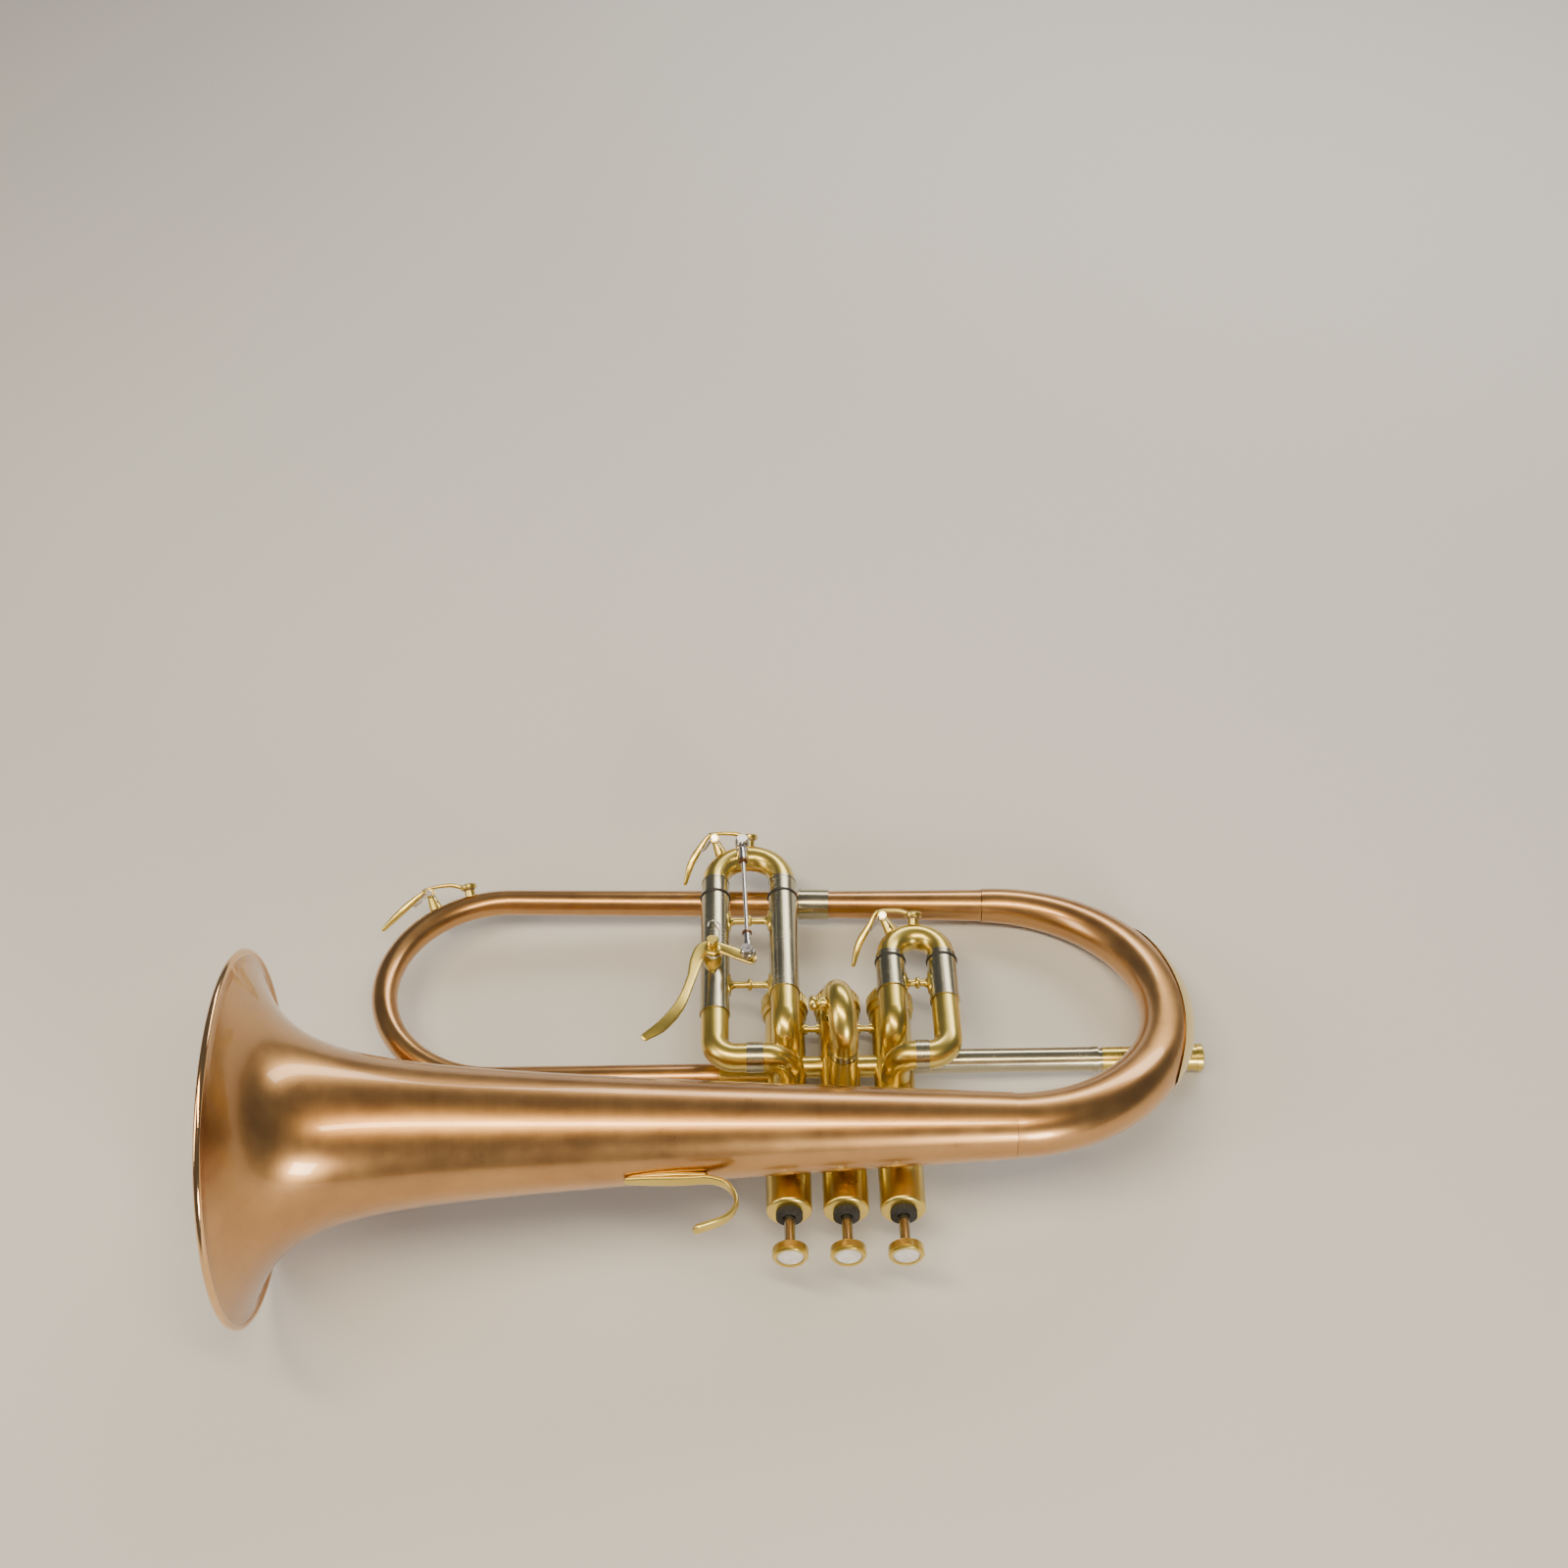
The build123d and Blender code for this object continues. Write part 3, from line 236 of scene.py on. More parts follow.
# mesh making, all in the horn's own millimetres
class Shape:
    # rows of points joined into a skin; a row of one point is a pole
    def __init__(self):
        self.points = []
        self.faces = []
        self.marks = []

    def skin(self, rows, lengths, loop=False):
        starts = []
        for row in rows:
            starts.append(len(self.points))
            self.points += row
        pairs = list(zip(range(len(rows) - 1), range(1, len(rows))))
        if loop:
            pairs.append((len(rows) - 1, 0))
        for low, high in pairs:
            sides = max(len(rows[low]), len(rows[high]))
            a, b = lengths[low] * 0.001, lengths[high] * 0.001
            for k in range(sides):
                after = (k + 1) % sides
                corners = [(low, k, k, a), (low, after, k + 1, a), (high, after, k + 1, b), (high, k, k, b)]
                if len(rows[low]) == 1:
                    corners.pop(1)
                elif len(rows[high]) == 1:
                    corners.pop(2)
                self.faces.append([starts[row] + (0 if len(rows[row]) == 1 else side)
                                   for row, side, _, _ in corners])
                self.marks.append([(share / sides, length) for _, _, share, length in corners])
        return self

    def piece(self, name, finish, body, *stands):
        mesh = bpy.data.meshes.new(name)
        mesh.from_pydata([horn @ Vector(point) for point in self.points], [], self.faces)
        layer = mesh.uv_layers.new(name="along")
        for face, marks in zip(mesh.polygons, self.marks):
            face.use_smooth = True
            for loop, mark in zip(face.loop_indices, marks):
                layer.data[loop].uv = mark
        mesh.materials.append(finish)
        mesh.set_sharp_from_angle(angle=math.radians(38))
        out = bpy.data.objects.new(name, mesh)
        scene.collection.objects.link(out)
        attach(out, body)
        if stands:
            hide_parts(*stands)
        return out


def runLengths(points):
    out = [0.0]
    for a, b in zip(points, points[1:]):
        out.append(out[-1] + (b - a).length)
    return out


def circleRow(centre, side, other, radius, sides):
    if radius < 0.001:
        return [Vector(centre)]
    turns = [2 * math.pi * k / sides for k in range(sides)]
    return [centre + (side * math.cos(t) + other * math.sin(t)) * radius for t in turns]


def lathe(shape, origin, axis, profile, sides=64, loop=False):
    # profile: (distance along the axis, radius) from one end to the other
    axis = Vector(axis).normalized()
    side = axis.orthogonal().normalized()
    other = axis.cross(side)
    rows = [circleRow(Vector(origin) + axis * far, side, other, radius, sides) for far, radius in profile]
    lengths = runLengths([Vector((far, radius, 0)) for far, radius in profile])
    return shape.skin(rows, lengths, loop)


def carriedSides(points, first=None):
    # a side vector carried along a route without twisting
    side = first or (points[1] - points[0]).orthogonal().normalized()
    out = []
    for i in range(len(points)):
        way = (points[min(i + 1, len(points) - 1)] - points[max(i - 1, 0)]).normalized()
        side = (side - way * side.dot(way)).normalized()
        out.append((side, way.cross(side)))
    return out


def pipe(shape, points, outer, wall, sides=56):
    # an open tube; outer is a radius, or a function of the share of its length
    lengths = runLengths(points)
    size = outer if callable(outer) else lambda share: outer
    rings = [(point, size(far / lengths[-1]), far, pair)
             for point, far, pair in zip(points, lengths, carriedSides(points))]
    rings += [(point, radius - wall, far, pair) for point, radius, far, pair in reversed(rings)]
    rows = [circleRow(point, side, other, radius, sides) for point, radius, _, (side, other) in rings]
    return shape.skin(rows, [ring[2] for ring in rings], loop=True)


def wireRod(shape, points, radius, sides=14):
    # a solid wire with rounded ends
    pairs = carriedSides(points)
    lengths = runLengths(points)
    rows = [circleRow(point, *pair, radius, sides) for point, pair in zip(points, pairs)]
    ends = []
    for end, near in ((0, 1), (-1, -2)):
        out = (points[end] - points[near]).normalized()
        ends.append((circleRow(points[end] + out * radius * 0.7, *pairs[end], radius * 0.6, sides),
                     [points[end] + out * radius]))
    rows = [ends[0][1], ends[0][0]] + rows + [ends[1][0], ends[1][1]]
    return shape.skin(rows, [0.0, 0.1] + lengths + [lengths[-1] + 0.1, lengths[-1] + 0.2])


def ribbon(shape, points, firstSide, widths, thicks, twist=0.0, sides=28):
    # a strip with crowned faces and round edges; its sizes are read along its length
    lengths = runLengths(points)
    rows = []
    for index, (point, (side, other)) in enumerate(zip(points, carriedSides(points, firstSide))):
        share = lengths[index] / lengths[-1]
        half, deep = reading(widths, share) / 2, reading(thicks, share) / 2
        lean = Matrix.Rotation(math.radians(twist) * share, 3, side.cross(other))
        side, other = lean @ side, lean @ other
        row = []
        for k in range(sides):
            c, s = math.cos(2 * math.pi * k / sides), math.sin(2 * math.pi * k / sides)
            across = math.copysign(abs(c) ** 0.6, c)
            row.append(point + side * half * across + other * deep * math.copysign(abs(s) ** 0.7, s))
        rows.append(row)
    caps = [sum(row, Vector()) / len(row) for row in (rows[0], rows[-1])]
    ends = []
    for cap, row, way, wide in ((caps[0], rows[0], points[0] - points[1], widths[0]),
                                (caps[1], rows[-1], points[-1] - points[-2], widths[-1])):
        way = way.normalized() * wide * 0.45
        turns = [math.radians(t) for t in (18, 36, 54, 70, 81)]
        ends.append([[cap + (p - cap) * math.cos(t) + way * math.sin(t) for p in row] for t in turns] + [[cap + way]])
    rows = ends[0][::-1] + rows + ends[1]
    far = lengths[-1]
    steps = [0.3 * i for i in range(1, 7)]
    return shape.skin(rows, [-step for step in reversed(steps)] + lengths + [far + step for step in steps])


def slottedHead(shape, base, axis, radius, high, gap):
    # a low round head with a cut across it
    axis = Vector(axis).normalized()
    side = axis.orthogonal().normalized()
    other = axis.cross(side)
    floor = high * 0.45
    lathe(shape, base, axis, [(0, 0), (0, radius), (floor, radius), (floor, 0)], 32)
    lean = math.asin(gap / 2 / radius)
    for way in (-1, 1):
        rows = []
        for rise, size in ((floor, 1.0), (high - 0.15, 1.0), (high, 0.9)):
            turns = [lean + (math.pi - 2 * lean) * i / 18 for i in range(19)]
            flat = [(radius * size * math.cos(t), max(gap / 2, radius * size * math.sin(t))) for t in turns]
            rows.append([base + axis * rise + (side * x + other * y) * way for x, y in flat])
        rows.append([sum(rows[-1], Vector()) / len(rows[-1])])
        shape.skin(rows, [0.0, 0.5, 0.7, 1.5])
    return shape


def reading(values, share):
    # a value between evenly spaced ones
    place = share * (len(values) - 1)
    low = min(int(place), len(values) - 2)
    return values[low] + (place - low) * (values[low + 1] - values[low])


def line(a, b, steps):
    a, b = Vector(a), Vector(b)
    return [a.lerp(b, i / steps) for i in range(steps + 1)]


def arc(centre, first, last, steps):
    # the short way from first to last about a centre
    centre = Vector(centre)
    a, b = Vector(first) - centre, Vector(last) - centre
    across = a.cross(b).normalized().cross(a)
    total = a.angle(b)
    return [centre + a * math.cos(total * i / steps) + across * math.sin(total * i / steps)
            for i in range(steps + 1)]


def curve(points, steps):
    # a smooth line through the points
    points = [Vector(p) for p in points]
    ends = [points[0] * 2 - points[1]] + points + [points[-1] * 2 - points[-2]]
    out = []
    for a, b, c, d in zip(ends, ends[1:], ends[2:], ends[3:]):
        for i in range(steps):
            t = i / steps
            out.append((b * 2 + (c - a) * t + (a * 2 - b * 5 + c * 4 - d) * t ** 2
                        + (b * 3 - a - c * 3 + d) * t ** 3) / 2)
    return out + [points[-1]]


# bell
bellLook = dict(y=-48.4, z=34.5, rimX=-263.8, rimRadius=80.9, bead=1.7, wall=0.7, tailX=74.0, tailRadius=14.3,
                taper=0.048, reach=33.3, sides=240, rings=170)


def bellRadius(x):
    b = bellLook
    flare = b["rimRadius"] - b["tailRadius"] - b["taper"] * (b["tailX"] - b["rimX"])
    return b["tailRadius"] + b["taper"] * (b["tailX"] - x) + flare / (1 + (x - b["rimX"]) / b["reach"]) ** 2


def makeBell():
    # the sheet is turned over a wire at the mouth; the rolled bead is buffed brighter than the flare
    b = bellLook
    span = b["tailX"] - b["rimX"]
    stations = [b["rimX"] + span * (i / b["rings"]) ** 2.2 for i in range(b["rings"] + 1)]
    stations = [x for x in stations if x > b["rimX"] + b["bead"] * 0.9]
    origin = (0, b["y"], b["z"])
    outside = [(x, bellRadius(x)) for x in reversed(stations)]
    inside = [(x, bellRadius(x) - b["wall"]) for x in stations]
    lip = [(b["rimX"] + b["bead"] * 0.55, b["rimRadius"] - 0.25)]
    body = lathe(Shape(), origin, xWay, outside + lip + inside, b["sides"], loop=True)
    body.piece("bellBody", metal("copper", "length"), "root", "bell")
    turns = [math.radians(15 * i) for i in range(24)]
    bead = [(b["rimX"] + b["bead"] * math.cos(t), b["rimRadius"] + b["bead"] * math.sin(t)) for t in turns]
    bead = lathe(Shape(), origin, xWay, bead, b["sides"], loop=True)
    bead.piece("bellBead", metal("rim", "all"), "root")


# bows and the front branch
branchLook = dict(outletY=8.0, outletX=-52.6, frontX=-163.0, frontRadius=56.5, bowLow=(74.0, 107.4, 8.0),
                  jointShare=0.6475, wall=0.7, tube=6.3, grown=0.4, gap=0.15, tubeRadii=(6.7, 7.3, 8.0),
                  bowRadii=(8.4, 10.6, 12.3, 13.5, 14.3))


def makeBows():
    b = branchLook
    low = Vector(b["bowLow"])
    high = Vector((bellLook["tailX"], bellLook["y"], bellLook["z"]))
    centre = (low + high) / 2
    crown = centre + xWay * (high - low).length / 2
    bow = arc(centre, low, crown, 48)[:-1] + arc(centre, crown, high, 48)
    shape = pipe(Shape(), bow, lambda share: reading(b["bowRadii"], share), b["wall"], 84)
    shape.piece("bellBow", metal("copper", "length"), "root", "bell_bow")
    front = Vector((b["frontX"], b["outletY"] + 2 * b["frontRadius"], 0))
    joint = front.lerp(low, b["jointShare"])
    step = (low - front).normalized() * b["gap"]
    tube = line(joint + step, low, 40)
    shape = pipe(Shape(), tube, lambda share: reading(b["tubeRadii"], share), b["wall"], 72)
    shape.piece("bottomTube", metal("copper", "length"), "root", "bottom_tube")
    turnAt = Vector((b["frontX"], b["outletY"] + b["frontRadius"], 0))
    near = turnAt - yWay * b["frontRadius"]
    far = turnAt + yWay * b["frontRadius"]
    west = turnAt - xWay * b["frontRadius"]
    path = line((b["outletX"], b["outletY"], 0), near, 40)[:-1] + arc(turnAt, near, west, 44)[:-1]
    path += arc(turnAt, west, far, 44)[:-1] + line(far, joint - step, 50)
    lengths = runLengths(path)
    run = (joint - far).length / lengths[-1]  # only the last straight run widens
    shape = pipe(Shape(), path, lambda share: b["tube"] + b["grown"] * max(0, (share - 1 + run) / run), b["wall"], 72)
    shape.piece("frontBranch", metal("copper", "length"), "root", "front_bow")


makeBell()
makeBows()
print("bell and bows made")

# slides: crooks, and braces with leaf-shaped feet
slideLook = dict(z=23.0, sleeve=7.0, crook=6.4, wall=0.75, thirdLegs=(-25.4, -58.4), thirdTop=111.0,
                 firstLegs=(25.4, 50.0), firstTop=61.2)
braceLook = dict(rows=(("third", 44.7), ("third", 85.4), ("first", 44.4)), bar=1.7, ring=2.6, ringHalf=0.8,
                 leafLong=6.6, leafWide=4.3, leafThick=0.55, sides=48)


def makeCrooks():
    s = slideLook
    for name in ("third", "first"):
        a, b = s[name + "Legs"]
        centre = Vector(((a + b) / 2, s[name + "Top"], s["z"]))
        half = abs(a - b) / 2
        path = arc(centre, centre + xWay * half, centre + yWay * half, 36)[:-1]
        path += arc(centre, centre + yWay * half, centre - xWay * half, 36)
        shape = pipe(Shape(), path, s["crook"], s["wall"], 64)
        shape.piece(name + "Crook", metal("brass", "length"), name + "_slide", name + "_slide_crook")


def leafRow(sleeveX, way, y, long, wide, height, sides):
    # a closed row that hugs the sleeve, pointed along it when long is more than wide
    row = []
    reach = slideLook["sleeve"] + height
    for k in range(sides):
        t = 2 * math.pi * k / sides
        point = 1 - 0.22 * (1 - wide / long) * abs(math.sin(2 * t))
        around = wide * math.sin(t) * point / reach
        row.append(Vector((sleeveX + way * reach * math.cos(around), y + long * math.cos(t) * point,
                           slideLook["z"] + way * reach * math.sin(around))))
    return row


def makeBraces():
    b = braceLook
    shape = Shape()
    for name, y in b["rows"]:
        right, left = sorted(slideLook[name + "Legs"], reverse=True)
        middleX = (left + right) / 2
        half = []
        leaf = [(1.0, 0.0), (1.0, 0.6), (0.93, 1.0)]
        for share, rise in leaf:
            half.append((b["leafLong"] * share, b["leafWide"] * share, -0.05 + b["leafThick"] * rise))
        for share in (0.25, 0.5, 0.72, 0.88, 1.0):
            ease = 1 - (1 - share) ** 2
            long, wide = (b[size] * (1 - ease) * 0.75 + b["bar"] * ease for size in ("leafLong", "leafWide"))
            half.append((long, wide, b["leafThick"] + 2.4 * share ** 2))
        start = [leafRow(left, 1, y, *size, b["sides"]) for size in half]
        finish = [leafRow(right, -1, y, *size, b["sides"]) for size in reversed(half)]
        bars = []
        edge, fat = b["ringHalf"], b["ring"] + 0.25
        for offset, radius in ((-edge - 0.4, b["bar"]), (-edge, b["ring"]), (-edge * 0.4, fat), (edge * 0.4, fat),
                               (edge, b["ring"]), (edge + 0.4, b["bar"])):
            centre = Vector((middleX + offset, y, slideLook["z"]))
            bars.append(circleRow(centre, yWay, zWay, radius, b["sides"]))
        # the far end is turned the other way round, so its points are put in the near end's order
        finish = [[row[-k % b["sides"]] for k in range(b["sides"])] for row in finish]
        rows = start + bars + finish
        shape.skin(rows, runLengths([sum(row, Vector()) / len(row) for row in rows]))
    shape.piece("slideBraces", metal("brass", "all"), "root", "slide_braces")


makeCrooks()
makeBraces()
print("slides made")

# trigger: thumb lever with its saddle, and the link rod
leverLook = dict(path=((-41.2, 50.6, 34.9), (-46.5, 53.3, 34.9), (-53.0, 56.6, 34.9), (-59.6, 59.2, 34.9),
                       (-64.2, 57.0, 34.9), (-66.9, 50.0, 34.9), (-69.4, 38.1, 35.0), (-74.2, 22.6, 35.4),
                       (-81.6, 10.8, 35.6), (-90.0, 3.8, 35.3)),
                 widths=(6.4, 6.2, 5.4, 6.6, 6.0, 4.4, 4.3, 5.0, 5.6, 5.5, 3.8),
                 thick=(1.7, 1.7, 1.7, 1.7, 1.8, 1.5, 1.1), pivot=(-59.3, 57.5, 34.0), hub=4.0, twist=-24.0)
rodLook = dict(low=(-42.55, 51.4, 38.5), high=(-44.9, 123.6, 38.5), eye=3.8, eyeHigh=1.9, bores=(1.95, 1.25),
               barrel=1.85, barrelFrom=3.0, barrelTo=11.6, collar=2.35, collarLong=1.6, rod=1.0)


def makeTrigger():
    t = leverLook
    shape = ribbon(Shape(), curve(t["path"], 9), yWay, t["widths"], t["thick"], t["twist"])
    hub = [(0, 1.6), (0, t["hub"] - 0.4), (0.3, t["hub"]), (1.5, t["hub"]), (1.9, t["hub"] - 0.5), (1.95, 1.6)]
    lathe(shape, t["pivot"], zWay, hub, 40, loop=True)
    shape.piece("thumbLever", metal("brass", "length"), "trigger", "trigger_lever")
    r = rodLook
    low, high = Vector(r["low"]), Vector(r["high"])
    way = (high - low).normalized()
    shape = Shape()
    for eye, bore in zip((low, high), r["bores"]):
        hoop = [(-r["eyeHigh"], bore), (-r["eyeHigh"], 3.0), (-1.2, 3.6), (0, r["eye"]), (1.2, 3.6),
                (r["eyeHigh"], 3.0), (r["eyeHigh"], bore)]
        lathe(shape, eye, zWay, hoop, 40, loop=True)
    for eye, out in ((low, way), (high, -way)):
        wide, start, end = r["barrel"], r["barrelFrom"], r["barrelTo"]
        barrel = [(start, 0), (start, 1.7), (start + 0.8, wide), (7.0, wide), (7.2, 1.65), (7.6, 1.65), (7.8, wide),
                  (end, wide), (end, 0)]
        lathe(shape, eye, out, barrel, 32)
    lathe(shape, low + way * 8, way, [(0, 0), (0, r["rod"]), ((high - low).length - 16, r["rod"]),
                                      ((high - low).length - 16, 0)], 28)
    shape.piece("linkRod", metal("steel", "length"), "third_slide", "link_rod")
    collars = Shape()
    for eye, out in ((low, way), (high, -way)):
        start, wide = r["barrelTo"] - 0.1, r["collar"]
        end = start + r["collarLong"]
        nut = [(start, 0), (start, wide - 0.3), (start + 0.3, wide), (end - 0.3, wide), (end, wide - 0.3), (end, 0)]
        lathe(collars, eye, out, nut, 32)
    collars.piece("linkRodCollars", metal("collar", "all"), "third_slide")


# water keys: lever, cup and return wire, each in its own plane over the tube
keyLook = dict(nipple=2.4, cup=4.2, ear=2.35, earFrom=2.15, earTo=3.4, wire=0.34, head=1.75,
               thick=(2.2, 2.3, 2.0, 1.5, 3.0, 3.8, 3.4, 2.2), widths=(4.4, 3.4, 3.6, 4.8, 4.2, 4.6, 5.4, 5.2, 3.4))
keys = {
    "third_slide": dict(post="third_slide", apex=(-41.4, 127.5, 23.0), out=(0, 0.8, 0.6),
                        seat=6.4, pivot=(-17.4, 10.2), arm=(-8.0, 13.4),
                        tail=((-23.6, 7.4), (-29.2, -1.9), (-32.2, -11.6))),
    "first_slide": dict(post="first_slide", apex=(37.7, 73.5, 23.0), out=(0, 0.8, 0.6),
                        seat=6.4, pivot=(-15.2, 10.4), arm=(-7.0, 13.4),
                        tail=((-21.0, 6.6), (-26.6, -3.0), (-29.4, -12.6))),
    "front_bow": dict(post="root", apex=(-181.02, 118.05, 0.0), out=(-0.255, 0.757, 0.6),
                      seat=6.3, pivot=(-19.6, 12.6), arm=(-9.0, 14.8),
                      tail=((-27.0, 11.9), (-36.0, 7.4), (-46.2, 1.6))),
}


def inWords(node):
    # a node's name as one word, the way new pieces are named
    first, *rest = node.split("_")
    return first + "".join(word.title() for word in rest)


def makeKeys():
    k = keyLook
    for name, key in keys.items():
        out = Vector(key["out"]).normalized()
        way = (xWay - out * out.x).normalized()
        hinge = way.cross(out)
        apex = Vector(key["apex"])

        def spot(x, y, z=0.0):
            return apex + way * x + out * y + hinge * z
        top = key["seat"] + k["nipple"] + 3.6
        px, py = key["pivot"]
        armX, armY = key["arm"]
        flat = [(2.0, top - 1.3), (-2.6, top - 1.1), (armX, armY - 0.7), (px, py + 2.5), (px - 3.4, py + 0.9)]
        route = curve([spot(x, y) for x, y in flat + list(key["tail"])], 8)
        shape = ribbon(Shape(), route, hinge, k["widths"], k["thick"])
        cup = [(top - 0.7, 0), (top - 0.7, 3.0), (top - 1.9, 3.2), (top - 2.7, 3.2), (top - 2.8, k["cup"] - 0.15),
               (top - 2.4, k["cup"]), (top - 0.9, k["cup"]), (top - 0.3, k["cup"] - 0.5), (top + 0.15, 1.8),
               (top + 0.3, 0)]
        lathe(shape, apex, out, cup, 40)
        for side in (-1, 1):
            ear = [(k["earFrom"], 0.9), (k["earFrom"], k["ear"]), (k["earTo"] - 0.25, k["ear"]),
                   (k["earTo"], k["ear"] - 0.25), (k["earTo"], 0.9)]
            lathe(shape, spot(px, py), hinge * side, ear, 32, loop=True)
            arm = [spot(px + 0.2, py + 0.2, side * 2.8), spot(px - 1.2, py + 2.0, side * 2.5)]
            arm += [spot(px - 2.6, py + 2.2, side * 1.6)]
            wireRod(shape, curve(arm, 5), 0.7)
        shape.piece(inWords(name) + "KeyLever", metal("brass", "length"),
                    name + "_key", name + "_key_lever")
        tx, ty = key["tail"][0]
        wire = [spot(px + 3.4, py - 6.0, 3.9), spot(px + 1.6, py - 1.2, 3.9)]
        wire += [spot(px + 1.3 * math.cos(a), py + 1.3 * math.sin(a), 3.9 + a * 0.05)
                 for a in [math.radians(-30 + 30 * i) for i in range(7)]]
        wire += [spot(tx + 1.5, ty - 1.9, 3.2), spot(tx - 1.4, ty - 3.4, 1.6), spot(tx - 2.0, ty - 3.8, 0.0)]
        other = [p - hinge * 2 * (p - apex).dot(hinge) for p in reversed(wire[:-1])]
        spring = wireRod(Shape(), curve(wire + other, 4), k["wire"])
        spring = spring.piece(inWords(name) + "KeyWire", metal("steel", "length"),
                              name + "_key")
        head = slottedHead(Shape(), spot(px, py, k["earTo"] + 0.35), hinge, k["head"], 0.9, 0.5)
        head.piece(name + "KeyScrew", metal("steel", "all"), key["post"])


makeTrigger()
makeKeys()
print("trigger and keys made")

# finger hook, and the pearls in the buttons
springLook = dict(top=25.9, foot=54.0, radius=5.4, wire=0.45, turns=8.4, kept=0.43)
hookLook = dict(z=33.0, start=(-95.0, -73.6), bend=(-60.0, -73.6), outer=(-48.6, -83.5), curl=(-54.5, -94.5),
                end=(-64.5, -98.6), widths=(4.6, 6.0, 6.2, 6.0, 5.6, 5.4, 5.4, 5.8, 6.0),
                thick=(2.2, 2.4, 2.2, 2.0, 2.4))
pearlLook = dict(floor=-90.7, radius=5.9, high=1.5, valves={"valve_1": 25.4, "valve_2": 0.0, "valve_3": -25.4})


def makeValveSprings():
    # each valve's spring, a fixed coil running toward the bottom cap
    p = springLook
    for body, x in pearlLook["valves"].items():
        count = int(p["turns"] * 30)
        angles = [2 * math.pi * i / 30 for i in range(count + 1)]
        coil = [Vector((x + p["radius"] * math.cos(t), p["top"] + (p["foot"] - p["top"]) * i / count,
                        p["radius"] * math.sin(t))) for i, t in enumerate(angles)]
        number = body[-1]
        spring = wireRod(Shape(), coil, p["wire"], 10)
        spring = spring.piece("springOfValve" + number, metal("steel", "length"), "root", "valve_spring_" + number)
        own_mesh(spring)


def makeHook():
    h = hookLook
    flat = [h["start"], (-84.0, -73.8), (-72.0, -73.9), h["bend"], (-52.4, -76.8), h["outer"], (-49.6, -89.6),
            h["curl"], h["end"]]
    route = curve([(x, y, h["z"]) for x, y in flat], 10)
    shape = ribbon(Shape(), route, zWay, h["widths"], h["thick"])
    foot = [(x, y, h["z"]) for x, y in ((-94.0, -72.3), (-84.0, -72.0), (-74.0, -71.6), (-62.0, -71.4))]
    ribbon(shape, curve(foot, 6), zWay, (3.4, 5.2, 5.2, 3.4), (1.8, 2.6, 2.8, 2.0))
    shape.piece("fingerHook", metal("brass", "length"), "root", "finger_hook")


def makePearls():
    p = pearlLook
    for body, x in p["valves"].items():
        disc = [(0, 0), (0, p["radius"]), (p["high"] * 0.55, p["radius"]), (p["high"] * 0.8, p["radius"] - 0.5),
                (p["high"] * 0.95, p["radius"] - 2.2), (p["high"], 0)]
        shape = lathe(Shape(), (x, p["floor"], 0), -yWay, disc, 56)
        shape.piece("pearl_" + body[-1], soft("pearl"), body)


makeHook()
makePearls()
makeValveSprings()
print("hook, pearls and valve springs made")

# floor, light and camera
studio = dict(floor=(0.70, 0.69, 0.67), size=6.0, world=(0.60, 0.62, 0.66), power=0.22)
lamps = {
    "top": dict(place=(-0.1, -0.25, 1.25), aim=(0, -0.02, 0.05), size=(1.3, 0.13), power=17.0,
                colour=(1.0, 0.82, 0.54)),
    "low": dict(place=(0.55, -1.15, 0.42), aim=(0, 0, 0.05), size=(0.3, 0.3), power=9.0, colour=(1.0, 0.93, 0.84)),
    "left": dict(place=(-1.1, -0.3, 0.8), aim=(-0.1, 0, 0.05), size=(0.4, 0.7), power=6.0,
                 colour=(1.0, 0.93, 0.84)),
    "back": dict(place=(0.5, 1.0, 0.7), aim=(0, 0, 0.05), size=(1.2, 0.3), power=9.0, colour=(1.0, 0.94, 0.86)),
}
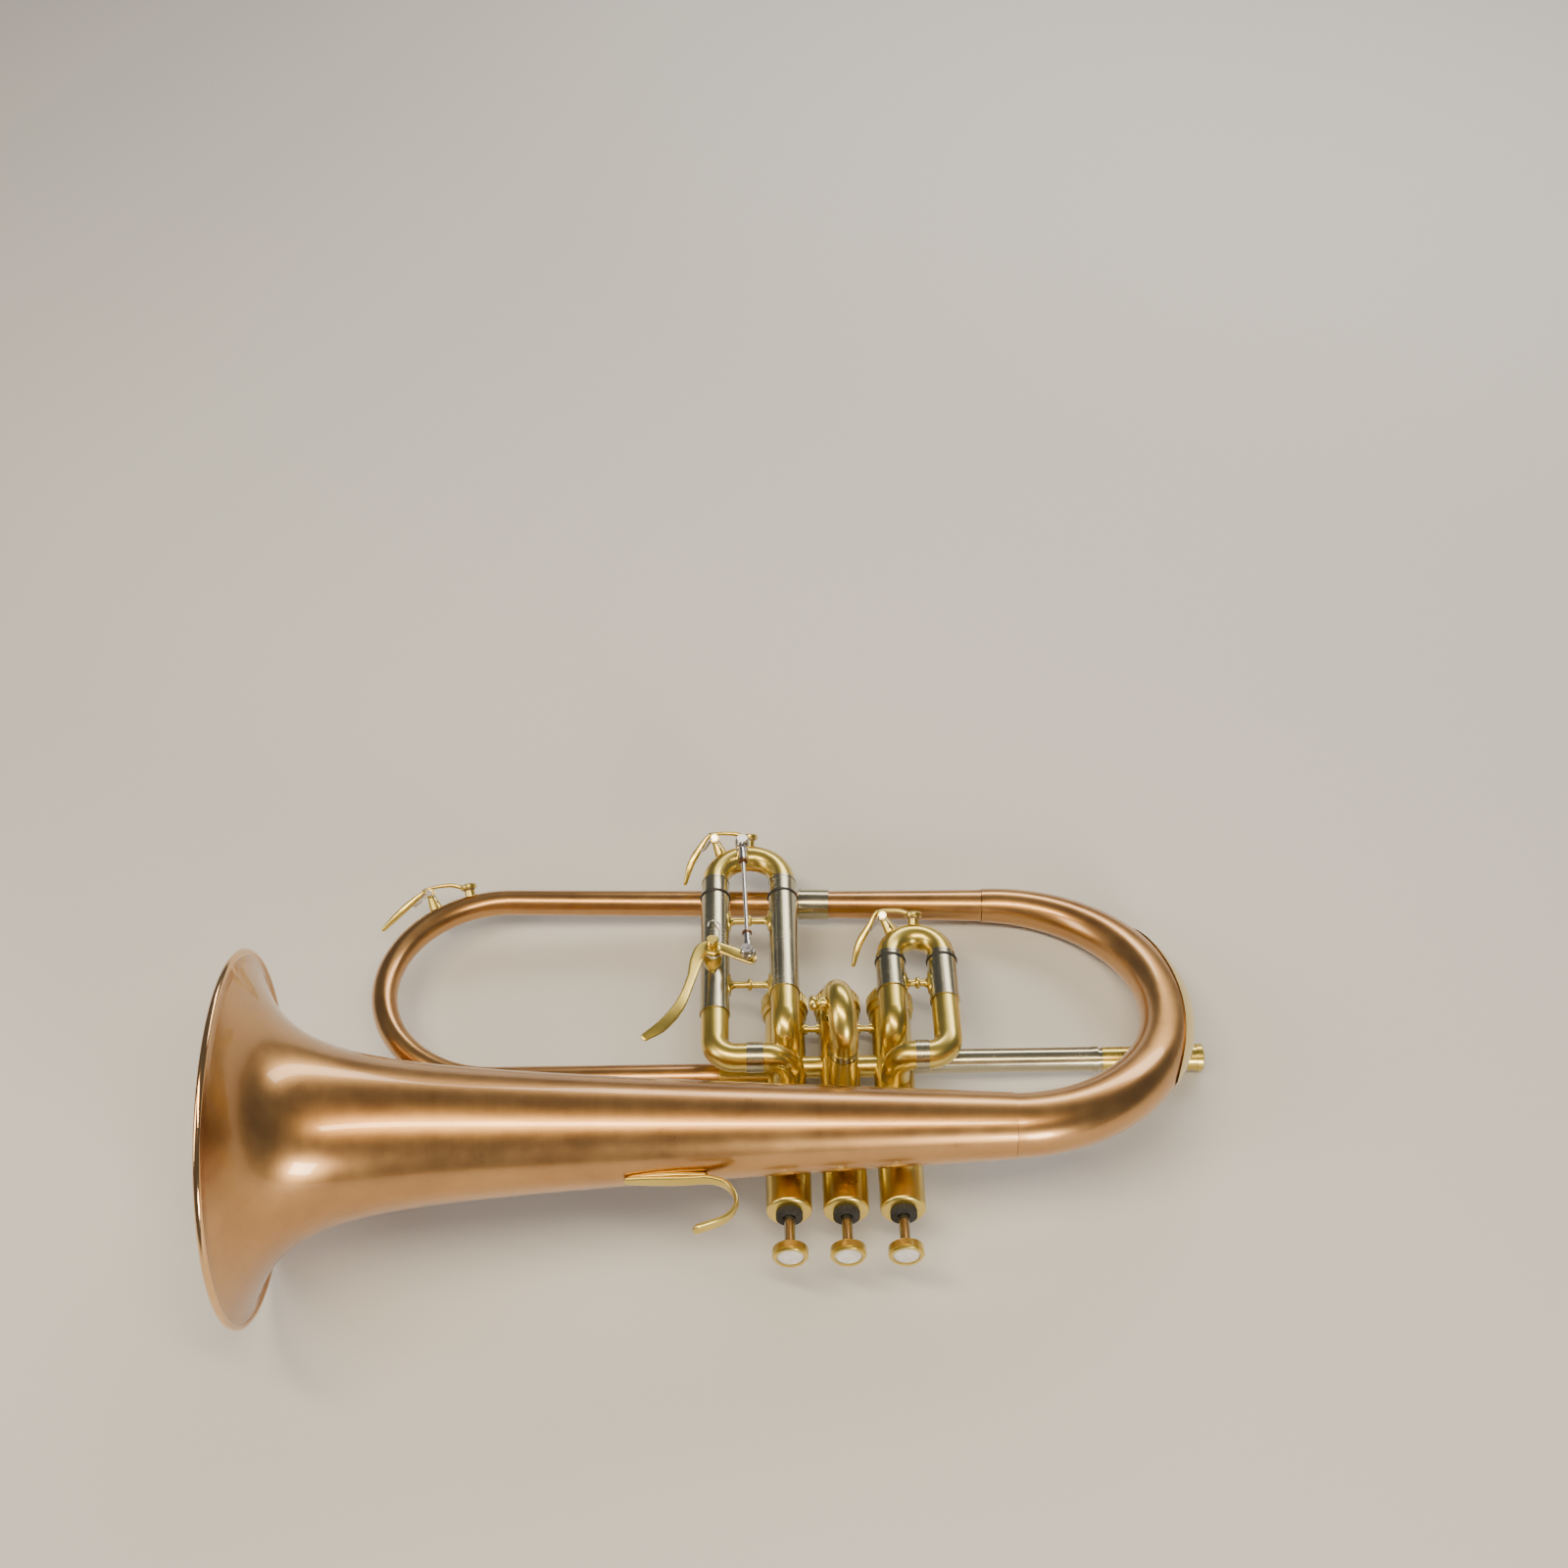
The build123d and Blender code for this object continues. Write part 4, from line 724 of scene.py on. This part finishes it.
# the eye stands on the finger side, tipped down by pitch and turned by heading, in the horn's axes
eye = dict(spot=(-38.0, -622.0, 804.0), pitch=44.2, heading=1.06, focal=49.5, sensor=36.0)


def makeStudio():
    mesh = bpy.data.meshes.new("floor")
    half = studio["size"] / 2
    mesh.from_pydata([(-half, -half, 0), (half, -half, 0), (half, half, 0), (-half, half, 0)], [], [(0, 1, 2, 3)])
    floor = bpy.data.objects.new("floor", mesh)
    scene.collection.objects.link(floor)
    out = Finish("paleFloor")
    spot = out.node("TexCoord", out="Object")
    cloud = out.node("TexNoise", values={"Vector": spot, "Scale": 3.0, "Detail": 4.0})
    tone = out.mix(cloud * 0.25, studio["floor"], tuple(c * 0.93 for c in studio["floor"]))
    out.feed(Base_Color=tone, Roughness=0.8)
    mesh.materials.append(out.material)
    world = bpy.data.worlds.new("studio")
    scene.world = world
    world.use_nodes = True
    back = world.node_tree.nodes["Background"]
    back.inputs["Color"].default_value = (*studio["world"], 1)
    back.inputs["Strength"].default_value = studio["power"]


def makeLamps():
    for name, lamp in lamps.items():
        data = bpy.data.lights.new(name, "AREA")
        data.shape = "RECTANGLE"
        data.size, data.size_y = lamp["size"]
        data.energy = lamp["power"]
        data.color = lamp["colour"]
        out = bpy.data.objects.new(name, data)
        scene.collection.objects.link(out)
        out.location = lamp["place"]
        out.rotation_euler = (Vector(lamp["aim"]) - Vector(lamp["place"])).to_track_quat("-Z", "Y").to_euler()


def makeCamera():
    pitch, heading = math.radians(eye["pitch"]), math.radians(eye["heading"])
    ahead = Vector((math.sin(heading) * math.cos(pitch), math.cos(heading) * math.cos(pitch), -math.sin(pitch)))
    right = Vector((math.cos(heading), -math.sin(heading), 0))
    data = bpy.data.cameras.new("camera")
    data.lens = eye["focal"]
    data.sensor_width = eye["sensor"]
    data.clip_start = 0.01
    out = bpy.data.objects.new("camera", data)
    scene.collection.objects.link(out)
    facing = turn @ Matrix((right, right.cross(ahead), -ahead)).transposed()
    out.matrix_world = Matrix.Translation(horn @ Vector(eye["spot"])) @ facing.to_4x4()
    scene.camera = out


makeStudio()
makeLamps()
makeCamera()
print("studio ready")
